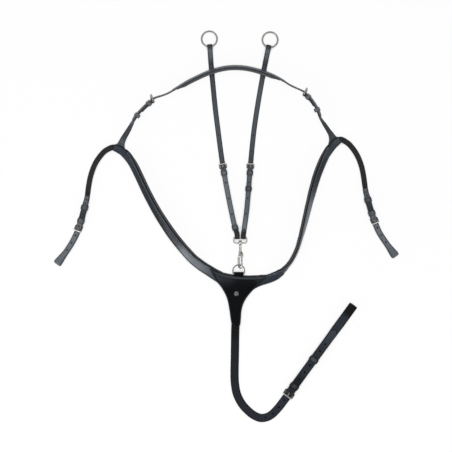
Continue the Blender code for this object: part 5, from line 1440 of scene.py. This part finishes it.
saddle = {
    "half": 6.9, "gap": 8.0, "coreEnd": 10.0, "chape": 80.0, "tip": 70.0, "flare": 3.0, "flareRun": 40.0, "corner": 2.4,
    "sewnIn": 1.5, "crossIn": 1.8, "pitch": 3.2, "holeLow": 0.6, "shades": (-0.15, -0.35),
    "holePitch": 22.0, "holeSteps": range(-3, 4), "keeper": 12.0, "slide": 43.0, "chapeSpread": 0.1,
    "look": {"finish": "strapLeather", "crease": 1.6, "depth": 0.25, "crown": 0.15, "spread": 0.45},
    # painted light above 0 and painted shade below 0, at places from the heel bar, and endTone at the strap's end;
    # shades is painted light on the keepers
    "tones": ((70, 0.05), (58, 0.0), (46, -0.85), (20, -0.85), (5, 0.2), (-16, 0.35)), "endTone": 0.15,
    "bars": {"left": (-411.8, 163.0), "right": (360.5, 183.0)},
}
saddlePoints = {
    "left": (
        (-320.0, 380.0, 0, 1.0), (-335.5, 374.0, 2, 1.0), (-347.0, 365.0, 6, 1.0), (-365.0, 340.5, 8, 1.0),
        (-376.5, 312.5, 10, 1.0), (-383.0, 283.5, 9, 0.8), (-388.0, 247.0, 6, 0.0), (-397.5, 210.5, 5, 0.0),
        (-405.0, 183.5, 5, 0.0), (-412.0, 163.0, 5, 0.0), (-422.5, 140.0, 3, 0.0), (-438.0, 114.5, 3, 0.0),
        (-456.0, 90.0, 8, 0.0), (-466.5, 76.0, 12, 0.0)),
    "right": (
        (270.0, 400.5, 0, 1.0), (284.5, 394.0, 2, 1.0), (296.0, 384.5, 6, 1.0), (313.0, 360.5, 8, 1.0),
        (324.5, 332.0, 10, 1.0), (330.5, 303.0, 9, 0.8), (336.0, 264.0, 6, 0.0), (345.0, 230.0, 5, 0.0),
        (353.0, 203.5, 5, 0.0), (360.5, 183.0, 5, 0.0), (370.5, 159.5, 3, 0.0), (386.5, 134.5, 3, 0.0),
        (404.0, 110.0, 8, 0.0), (414.0, 96.0, 12, 0.0)),
}


def elasticSection(half, thick):
    # flat webbing with low ribs and tight rounded selvedges
    steps, rib = elastic["ribs"] * 4, elastic["rib"]
    top, low = [], []
    for k in range(steps + 1):
        w, n = (half - 0.5) * (1 - 2 * k / steps), thick / 2 - rib + rib * math.cos(math.pi * k / 2)
        top.append((w, n, 0.0))
        low.append((w, -n, 0.0))
    side = [(half - 0.12, thick * 0.3, 1.0), (half, 0.0, 1.0), (half - 0.12, -thick * 0.3, 1.0)]
    other = [(-w, -n, m) for w, n, m in side]
    return side[::-1] + top + other + low[::-1]


def makeElastic(label, lap):
    # a little narrower where it is sewn between the legs of the fold
    rings, edge, places = [], [], []
    stop, thick, run = lap.s(saddle["coreEnd"]), elastic["thick"], elastic["sewnRun"]
    count = int(stop / elastic["step"])
    for k in range(count + 1):
        s = stop * k / count
        sewn = ease((s - lap.s(saddle["chape"] + run)) / run)
        spread = elastic["spread"] + (elastic["sewnSpread"] - elastic["spread"]) * sewn
        section = elasticSection(elastic["half"] + spread, thick)
        rings.append([lap.route.point(s, n, w) for w, n, _ in section])
        edge += [m for _, _, m in section]
        places += [(s, w, n) for w, n, _ in section]
    band = newObject("elastic" + label.capitalize(), *skin(rings))
    setMasks(band, edge=edge, strapPlace=places)
    dress(band, "elasticWebbing", "elastic_" + label, angle=55)


def makeSaddleSide(label, leanWay):
    half, ply = saddle["half"], lightPly
    lap = BuckledLap("saddle_" + label, "saddle", ply, ply, half, core=elastic["thick"], under=ply)
    rise = breast["padThick"] - elastic["thick"] / 2 - lap.reach
    start = breastRoutes[label].point(elastic["tuck"])
    points = [(x, y, leanWay * roll, rise * share) for x, y, roll, share in saddlePoints[label]]
    route = Route([(start.x, start.y, 0, rise), *points], lap.side, lap.reach)
    lap.onRoute(route, route.nearest(*saddle["bars"][label]) + lap.frontU, -1)
    makeElastic(label, lap)

    radius = (saddle["gap"] + ply) / 2
    foldS, foldN = route.length - radius - ply / 2, lap.underLevel + radius
    topN, chapeS, closed = foldN + radius, lap.s(saddle["chape"]), lap.s(legClose)
    knots = [(foldS, topN), (lap.s(lap.frontU - lap.down), topN), (lap.s(lap.frontU), lap.underFront),
             (lap.heel, lap.overHeel), (closed, lap.overLegs), (lap.s(saddle["tip"]), lap.overLegs)]
    path = []
    for s, n, h in (runPath([(chapeS, lap.underLevel), (foldS, lap.underLevel)], half)
                    + foldPath(foldS, foldN, radius, 270, 180, half, 22) + runPath(knots, half)):
        # the loop's end is pulled wide, with round corners
        wide = saddle["flare"] * ease((s - route.length) / saddle["flareRun"] + 1)
        path.append((s, n, h + wide - saddle["corner"] * max((s - foldS) / radius, 0) ** 3))
    tones = (*((lap.s(u), tone) for u, tone in saddle["tones"]), (route.length, saddle["endTone"]))
    strapPiece("saddle_strap_" + label, route, roundTip(path), ply, {**saddle["look"], "tones": tones, "flip": True},
               lap.holeCutters(saddle["holePitch"], saddle["holeSteps"], topN, saddle["holeLow"]))

    upper = runPath([(chapeS, lap.leg), (closed, lap.leg)], half)
    lower = [(s, -n, w) for s, n, w in reversed(upper)]
    strapPiece("saddle_chape_" + label, route, upper[:-1] + lap.foldRound(half) + lower[1:], ply,
               {**saddle["look"], "spread": saddle["chapeSpread"]}, [lap.slotCutter()])
    lap.makeFittings(saddle["keeper"], saddle["slide"], *saddle["shades"])
    rows, level = [], lap.leg + ply / 2 - seamSunk
    inset, crossIn = saddle["sewnIn"], saddle["crossIn"]
    for w in (half - inset, inset - half):
        rows += rowSpots(route, lap.s(saddle["chape"] - inset), lap.s(saddle["tip"] + 0.5), level, w, saddle["pitch"])
    rows += crossSpots(route, lap.s(saddle["chape"] - crossIn), level,
                       [(half - crossIn) * t for t in (-1, -1 / 3, 1 / 3, 1)])
    stitchPiece("saddleStitches" + label.capitalize(), rows, "saddle_chape_" + label)


makeSaddleSide("left", 1)
makeSaddleSide("right", -1)
print("saddle straps made")


# D ring

dRing = {"centreX": 6.0, "barY": 52.7, "half": 15.1, "side": 7.2, "wire": 1.65, "lean": 11.0, "strapHalf": 12.4,
         "chape": 19.0, "close": 4.4, "step": 1.2,
         "look": {"finish": "chestLeather", "crease": 0.0, "crown": 0.1}}


def makeDRing():
    wire, half = dRing["wire"], dRing["strapHalf"]
    ply = (breast["ply"] - touchGap) / 2
    x, y, z = dRing["centreX"], dRing["barY"], chest["backThick"] + touchGap + breast["ply"] / 2
    bar = Route([(x, y, 0, z), (x, y - dRing["chape"], 0, z)], 0.0, 0.0)
    radius, leg = wire + foldSlack + ply / 2, (ply + touchGap) / 2
    upper = [(0.0, radius), (dRing["close"], leg), (dRing["chape"], leg)]
    lower = [(s, -n) for s, n in reversed(upper)]
    path = runPath(lower, half, dRing["step"]) + foldPath(0.0, 0.0, radius, 270, -180, half)
    strapPiece("d_ring_chape", bar, path + runPath(upper, half, dRing["step"]), ply, dRing["look"])

    lean, right = math.radians(dRing["lean"]), Vector((1, 0, 0))
    rise = Vector((0, math.cos(lean), math.sin(lean)))
    corner, half = 2 * wire, dRing["half"]
    spots = [(corner - half + corner * c, corner + corner * d) for c, d in turns(-180, 90, 9)]
    spots += [((half - corner) * (k / 4 - 1), 0.0) for k in range(1, 8)]
    spots += [(half - corner + corner * c, corner + corner * d) for c, d in turns(-90, 90, 9)]
    spots += [(half * c, dRing["side"] + half * d) for c, d in turns(0, 180, 36)]
    points = [Vector((x, y, z)) + right * across + rise * up for across, up in spots]
    ring = newObject("dRing", *tube(points, [right.cross(rise)] * len(points), wire, 18, closed=True))
    dress(ring, "ringSteel", "d_ring", angle=60)


makeDRing()


# Martingale straps and their rings

snap = {
    "x": 10.0, "z": 9.4, "turn": 58.0, "eyeHalf": 16.6, "eyeHeight": 14.8, "eyeWire": 2.0, "eyeCorner": 3.2,
    "eyeSlack": 0.9, "strapGap": 3.0, "bossRadius": 5.5, "bossHalf": 4.5, "bossCut": 62.0, "pinRadius": 2.3,
    "pinPlay": 0.3, "headRadius": 3.8, "headThick": 2.4, "shankStart": 5.2, "shankEnd": 25.0, "shankRadius": 3.4,
    "hookWire": 2.5, "hookHalf": 7.5, "bendStart": 36.0, "bowl": 57.0, "hookTip": 51.0, "pivot": (-6.5, 30.0),
    "gatePin": 1.2, "gatePinPlay": 0.25, "gateThick": 3.0, "slotPlay": 0.3, "cheek": 1.9, "tipGap": 0.6,
    "gateHalf": 1.9, "knobPlace": (-11.0, 34.0), "knobRadius": 2.6, "knobThick": 5.0, "gateEye": 3.4,
    "hang": 7.5, "voxels": {"eye": 0.3, "body": 0.28, "gate": 0.25},
    "cheekRun": 9, "cheekBevel": 0.35, "gateBevel": 0.4,
    "shank": ((0.0, 0.8), (0.5, 0.98), (1.6, 1.04), (2.6, 0.98), (3.4, 0.86), (4.4, 0.9), (8, 1.0)),
}
dTop = dRing["barY"] + (dRing["side"] + dRing["half"]) * math.cos(math.radians(dRing["lean"]))
snap["y"] = dTop + snap["bowl"] + snap["hookHalf"] - snap["hang"]

martingale = {
    "half": 6.2, "ringMean": 20.0, "ringWire": 2.25, "ringPlay": 1.0, "ringReturn": 38.0, "returnClear": 2.0,
    "riseRun": 16.0, "fallRun": 20.0, "stepRun": 12.0, "heel": 318.0, "lastHole": 6.6, "tipGap": 13.0,
    "sewnIn": 1.4, "crossIn": 2.2, "pitch": 3.4, "slideDarker": 0.2,
    "eyeOpen": 10.0, "jointGap": 1.0, "holeSteps": range(-2, 5), "keeper": 12.0,
    # keeperShade and slideDarker are painted light on the keepers
    "slide": {"left": 0.954, "right": 0.216}, "keeperShade": {"left": 0.0, "right": -0.3},
    "look": {"finish": "strapLeather", "crease": 1.5, "depth": 0.22, "crown": 0.12, "spread": 0.45},
    "tones": {                            # painted shade below 0, painted highlight above 0, at places along the strap
        "left": ((-5, -0.95), (3, -0.6), (10, 0.25), (24, 0.1), (40, -0.5), (110, -0.55), (200, -0.35),
                 (310, -0.45), (335, 0.15), (350, 0.35), (470, 0.3), (486, -0.95)),
        "right": ((-5, -0.95), (3, -0.6), (10, 0.25), (24, 0.1), (40, -0.55), (120, -0.25), (230, -0.4),
                  (300, -0.55), (320, -0.2), (345, -0.15), (420, 0.0), (476, 0.4), (487, -0.95))},
}
martingalePoints = {
    "left": (
        (-69.0, 641.8, 0), (-66.0, 597.0, 0), (-60.5, 537.0, 0), (-54.5, 477.5, 0), (-47.0, 418.0, 0),
        (-37.0, 343.5, 0), (-27.0, 284.5, 0), (-18.5, 240.0, 0), (-12.5, 210.5, 0.1), (-4.8, 176.0, 0.6),
        (1.4, 155.5, 1)),
    "right": (
        (83.5, 640.0, 0), (74.5, 596.0, 0), (63.5, 537.0, 0), (53.5, 478.0, 0), (45.0, 418.5, 0),
        (37.5, 344.0, 0), (32.5, 284.0, 0), (29.0, 240.0, 0), (26.0, 209.5, 0.1), (21.8, 178.5, 0.6),
        (18.8, 157.0, 1)),
}


def makeRing(label, route, ringN, sag):
    node, mean, steps = "martingale_ring_" + label, martingale["ringMean"], 72
    _, (along, across, off) = route.frame(0)
    centre = route.point(0, ringN) + along * (sag / 2 - mean)
    points = [centre + (along * c + across * d) * mean for c, d in turns(0, 360, steps)[:-1]]
    ring = newObject(pieceName(node), *tube(points, [off] * steps, martingale["ringWire"], 20, closed=True))
    dress(ring, "ringSteel", node, angle=60)


def makeMartingaleSide(label, wayOut):
    half, ply, back = martingale["half"], lightPly, martingale["ringReturn"]
    lap = BuckledLap("martingale_" + label, "martingale", ply, ply, half)
    eyeX = snap["x"] + wayOut * (half + snap["strapGap"] / 2)
    endRise = snap["z"] - lap.reach
    points = [(x, y, 0, rise * endRise) for x, y, rise in martingalePoints[label]]
    route = Route([*points, (eyeX, snap["y"] + snap["eyeHeight"], 0, endRise)], lap.side, lap.reach)
    lap.onRoute(route, martingale["heel"], 1)
    sag = martingale["ringMean"] - math.sqrt(martingale["ringMean"] ** 2 - half ** 2)
    ringFold = martingale["ringWire"] + sag / 2 + martingale["ringPlay"] + ply / 2
    ringN, table = ringFold + ply / 2 - lap.reach, ply / 2 - lap.reach
    eyeS = route.length
    tipU = eyeS - martingale["tipGap"] - martingale["heel"]

    # folded through the ring, along the table and up over the buckle
    doubled, step = table + ply + touchGap, back + martingale["returnClear"]
    path = runPath([(back, table), (martingale["riseRun"], table), (0.0, ringN - ringFold)], half)
    path += foldPath(0.0, ringN, ringFold, 270, -180, half)
    knots = [(0.0, ringN + ringFold), (martingale["fallRun"], doubled), (step, doubled),
             (step + martingale["stepRun"], table)]
    path += runPath(knots + lap.billetKnots(tipU, table)[::-1], half)
    pitch = (tipU - martingale["lastHole"] - lap.holeU()) / martingale["holeSteps"][-1]
    look = {**martingale["look"], "tones": martingale["tones"][label]}
    strapPiece("martingale_billet_" + label, route, roundTip(path), ply, look,
               lap.holeCutters(pitch, martingale["holeSteps"], table))

    # round the buckle's bar and the snap's eye, its ends meeting underneath
    eyeRadius = snap["eyeWire"] + snap["eyeSlack"] + ply / 2
    openS, jointS = eyeS - martingale["eyeOpen"], (martingale["heel"] + eyeS) / 2
    path = lap.foldBack(jointS, [(openS, lap.leg), (eyeS, eyeRadius)], half)
    path += foldPath(eyeS, 0.0, eyeRadius, 90, -180, half)
    path += runPath([(eyeS, -eyeRadius), (openS, -lap.leg), (jointS + martingale["jointGap"], -lap.leg)], half)
    strapPiece("martingale_chape_" + label, route, path, ply, look, [lap.slotCutter()])
    sewnEnd = lap.buckle["fixedAt"] + martingale["keeper"]
    slideU = sewnEnd + (tipU - martingale["keeper"] - sewnEnd) * martingale["slide"][label]
    shade = martingale["keeperShade"][label]
    lap.makeFittings(martingale["keeper"], slideU, shade, shade - martingale["slideDarker"])

    rows, level, fall = [], doubled + ply / 2 - seamSunk, martingale["fallRun"]
    inset, crossHalf = martingale["sewnIn"], half - martingale["crossIn"]
    for w in (half - inset, inset - half):
        rows += rowSpots(route, fall + 1, back - 1, level, w, martingale["pitch"])
    for s in (fall - 0.5, back):
        rows += crossSpots(route, s, level, [crossHalf * t for t in (-1, 0, 1)], fall)
    stitchPiece("martingaleStitches" + label.capitalize(), rows, "martingale_billet_" + label)
    makeRing(label, route, ringN, sag)


makeMartingaleSide("left", -1)
makeMartingaleSide("right", 1)
print("martingale made")


# Girth strap

girth = {
    "ply": 3.2, "half": 10.3, "loopPly": 2.6, "gap": 6.4, "openRun": 74.0, "holePitch": 22.6,
    "holeSteps": range(-4, 8), "keeper": 11.0, "slide": 97.5, "held": 44.0, "tip": 198.0, "riseRun": 18.0,
    "joint": 60.0, "flare": 0.8, "flareRun": 50.0, "tipRun": 12.0,
    # shades is painted shade on the keepers
    "jointGap": 1.0, "crossIn": 2.4, "seams": (3.0, 7.0), "shades": (-0.95, -0.6), "bar": (131.7, -266.5),
    "look": {"finish": "girthLeather", "crease": 2.1, "depth": 0.28, "crown": 0.25, "spread": 0.45},
}
girthPoints = (
    (0.0, -52.0), (-2.0, -74.0), (-3.0, -97.0), (-3.7, -142.0), (-4.2, -172.0), (-4.8, -202.0), (-4.0, -232.0),
    (1.5, -261.5), (15.0, -288.0), (35.0, -309.0), (48.0, -318.0), (62.5, -323.5), (77.5, -322.0),
    (90.5, -315.5), (101.5, -305.5), (112.0, -293.5), (121.0, -281.5), (164.5, -221.0), (218.0, -148.0),
    (277.0, -67.5), (304.6, -29.4))


def girthPaintedLightTones(lap):
    # painted light and shade along the girth: dark ends and folds, a few paler places
    ends = ((0, -1), (50, -0.98), (84, -0.72), (150, -0.6), (240, -0.42), (lap.heel - 30, -0.25))
    laps = ((0, -0.25), (11, -0.8), (34, -0.8), (62, -0.1), (112, -0.2), (190, 0.25), (206, -0.15))
    far = ((lap.route.length - 42, -0.1), (lap.route.length - 26, -1.0))
    return (*ends, *((lap.s(u), tone) for u, tone in laps), *far)


def makeGirth():
    half, ply = girth["half"], girth["loopPly"]
    lap = BuckledLap("girth", "girth", ply, girth["ply"], half)
    route = Route([(x, y, 0, 0) for x, y in girthPoints], lap.side, lap.reach)
    lap.onRoute(route, route.nearest(*girth["bar"]) - lap.frontU, 1)
    held = chest["backThick"] + touchGap + girth["ply"] / 2 - lap.reach
    table = girth["ply"] / 2 - lap.reach
    knots = [(0.0, held), (girth["held"], held), (girth["held"] + layDown, table)]
    path = roundTip(runPath(knots + lap.billetKnots(girth["tip"], table)[::-1], half), girth["tipRun"])
    look = {**girth["look"], "tones": girthPaintedLightTones(lap)}
    strapPiece("girth_strap", route, path, girth["ply"], look,
               lap.holeCutters(girth["holePitch"], girth["holeSteps"], table))

    radius = (girth["gap"] + ply) / 2
    foldS, openS = route.length - radius - ply / 2, route.length - girth["openRun"]
    jointS, top = lap.heel + girth["joint"], radius * 2 - lap.leg
    path = lap.foldBack(jointS, [(openS, lap.leg), (openS + girth["riseRun"], top), (foldS, top)], half)
    path += foldPath(foldS, top - radius, radius, 90, -180, half, 22)
    path += runPath([(foldS, -lap.leg), (jointS + girth["jointGap"], -lap.leg)], half)
    path = [(s, n, h + girth["flare"] * ease((s - openS) / girth["flareRun"] + 1)) for s, n, h in path]
    strapPiece("girth_loop", route, path, ply, look, [lap.slotCutter()])
    lap.makeFittings(girth["keeper"], girth["slide"], *girth["shades"])
    rows, crossHalf = [], half - girth["crossIn"]
    for back in girth["seams"]:
        rows += crossSpots(route, openS - back, lap.leg + ply / 2 - seamSunk,
                           [crossHalf * t for t in (-1, -0.5, 0, 0.5, 1)])
    stitchPiece("girthStitches", rows, "girth_loop")


makeGirth()
print("girth strap made")


# Snap hook

swivel = Vector((snap["x"], snap["y"], snap["z"]))
snapDown, snapUp, snapRight = Vector((0, -1, 0)), Vector((0, 0, 1)), Vector((1, 0, 0))
snapTurn = math.radians(snap["turn"])
snapAcross = Vector((-math.cos(snapTurn), 0, -math.sin(snapTurn)))
snapFace = snapAcross.cross(snapDown)


def snapSpot(a, b, h=0.0):
    # across the hook, down from the swivel and off its face
    return swivel + snapAcross * a + snapDown * b + snapFace * h


def fuse(obj, voxel, rounds):
    # melts joined shapes into one cast piece with small fillets
    change(obj, "REMESH", mode="VOXEL", voxel_size=voxel * mm, use_smooth_shade=True)
    change(obj, "SMOOTH", factor=0.5, iterations=rounds)


def roundedPlate(outline, low, high, bevel):
    # flat plate with softened edges: outline is shrunk a little at both faces
    middle = Vector((sum(a for a, _ in outline) / len(outline), sum(b for _, b in outline) / len(outline)))
    rings = []
    for h, inset in ((low, bevel), (low + bevel, 0.0), (high - bevel, 0.0), (high, bevel)):
        outs = [Vector(spot) - middle for spot in outline]
        rings.append([snapSpot(*(middle + out * (1 - inset / max(out.length, 1.0))), h) for out in outs])
    return skin(rings)


def makeEye():
    # wire loop for the martingale straps, with the boss that the hook turns in
    half, boss = snap["eyeHalf"], snap["bossHalf"]
    loop = roundedLoop(-half, half, 0.0, snap["eyeHeight"], snap["eyeCorner"], 9, 8)
    points = [swivel + snapRight * x - snapDown * y for x, y in loop]
    cut = snap["bossCut"]
    profile = [(boss * d / math.sin(math.radians(cut)), snap["bossRadius"] * c) for c, d in turns(-cut, 2 * cut, 24)]
    eye = newObject("snapEye", *joined([tube(points, [snapUp] * len(points), snap["eyeWire"], 20, closed=True),
                                        turned(swivel, snapDown, snapRight, profile, 40)]))
    fuse(eye, snap["voxels"]["eye"], 4)
    bore = snap["pinRadius"] + snap["pinPlay"]
    cutAway(eye, [turned(swivel, snapDown, snapRight, ((-boss - 2, bore), (boss + 2, bore)), 28)])
    dress(eye, "polishedSteel", "snap_eye", angle=50)


def makeBody():
    # swivel head, turned shank, hook and the two cheeks of the gate
    head = snap["bossHalf"] + snap["pinPlay"]
    thick, radius, shank, wire = snap["headThick"], snap["headRadius"], snap["shankRadius"], snap["hookWire"]
    start, end, half, bowl = snap["shankStart"], snap["shankEnd"], snap["hookHalf"], snap["bowl"]
    profile = [(-head - thick, 0.4)]
    profile += [(-head - thick + thick * 0.75 * (1 - c), radius * d) for c, d in turns(0, 90, 6)[1:]]
    profile += [(-head - 0.25, radius), (-head, radius - 0.3), (-head + 0.02, snap["pinRadius"]),
                (start - 0.02, snap["pinRadius"])]
    profile += [(start + along, shank * share) for along, share in snap["shank"]]
    profile += [(end - 3, shank), (end, shank * 0.9)]
    hook = smoothCurve([(0.0, end - 4), (1.2, end + 2), (half * 0.72, snap["bendStart"] - 3),
                        (half, snap["bendStart"] + 3), (half, bowl)], 8)
    hook = [tuple(spot) for spot in hook] + [(half * c, bowl + half * d) for c, d in turns(0, 180, 24)[1:]]
    hook += [(-half, bowl - (bowl - snap["hookTip"]) * k / 4) for k in range(1, 5)]
    radii = []
    for i in range(len(hook)):
        share = i / (len(hook) - 1)
        radii.append((wire * (1.0 + 0.12 * math.sin(math.pi * share)), wire * (1.05 - 0.08 * share)))
    inner = snap["gateThick"] / 2 + snap["slotPlay"]
    (px, py), gateEye = snap["pivot"], snap["gateEye"]
    low = py - snap["cheekRun"]
    cheek = [(2.0, low), (-1.0, low), *((px + gateEye * c, py + gateEye * d) for c, d in turns(-120, -180, 12)),
             (2.0, py + gateEye)]
    body = newObject("snapBody", *joined([
        turned(swivel, snapDown, snapFace, profile, 36),
        tube([snapSpot(*spot) for spot in hook], [snapFace] * len(hook), radii, 20),
        roundedPlate(cheek, inner, inner + snap["cheek"], snap["cheekBevel"]),
        roundedPlate(cheek, -inner - snap["cheek"], -inner, snap["cheekBevel"])]))
    fuse(body, snap["voxels"]["body"], 3)
    dress(body, "polishedSteel", "snap_body", angle=50)


def makeGate():
    # lever with a thumb knob, and the pin that it turns on
    half = snap["gateThick"] / 2 + snap["slotPlay"] + snap["cheek"] + 0.4
    radius, pivot = snap["gatePin"], snapSpot(*snap["pivot"])
    ends = ((-half - 0.1, radius * 0.5), (0.15 - half, radius), (half - 0.15, radius), (half + 0.1, radius * 0.5))
    pin = newObject("snapGatePin", *turned(pivot, snapFace, snapDown, ends, 24))
    dress(pin, "studSteel", "snap_gate_pin", angle=50)

    (px, py), reach = snap["pivot"], snap["gateEye"] - 0.3
    lever = [(px + reach * c, py + reach * d) for c, d in turns(-200, 220, 14)]
    lowEnd = snap["hookTip"] - snap["tipGap"]
    inner, outer = snap["gateHalf"] - snap["hookHalf"], -snap["gateHalf"] - snap["hookHalf"]
    far = py + snap["cheekRun"]
    lever += [(inner + 0.6, far), (inner, lowEnd - 5), (inner, lowEnd), (outer, lowEnd), (outer, far)]
    thick, knobHalf, knob = snap["gateThick"] / 2, snap["knobThick"] / 2, snap["knobRadius"]
    profile = [(-knobHalf, knob * 0.45)]
    profile += [(knobHalf * d, knob * (0.45 + 0.55 * c)) for c, d in turns(-75, 150, 12)[1:-1]]
    profile.append((knobHalf, knob * 0.45))
    gate = newObject("snapGate", *joined([
        roundedPlate(lever, -thick, thick, snap["gateBevel"]),
        turned(snapSpot(*snap["knobPlace"]), snapFace, snapDown, profile, 24)]))
    fuse(gate, snap["voxels"]["gate"], 2)
    bore = radius + snap["gatePinPlay"]
    cutAway(gate, [turned(pivot, snapFace, snapDown, ((-half, bore), (half, bore)), 20)])
    dress(gate, "polishedSteel", "snap_gate", angle=50)


makeEye()
makeBody()
makeGate()
print("snap hook made")

bpy.context.view_layer.update()
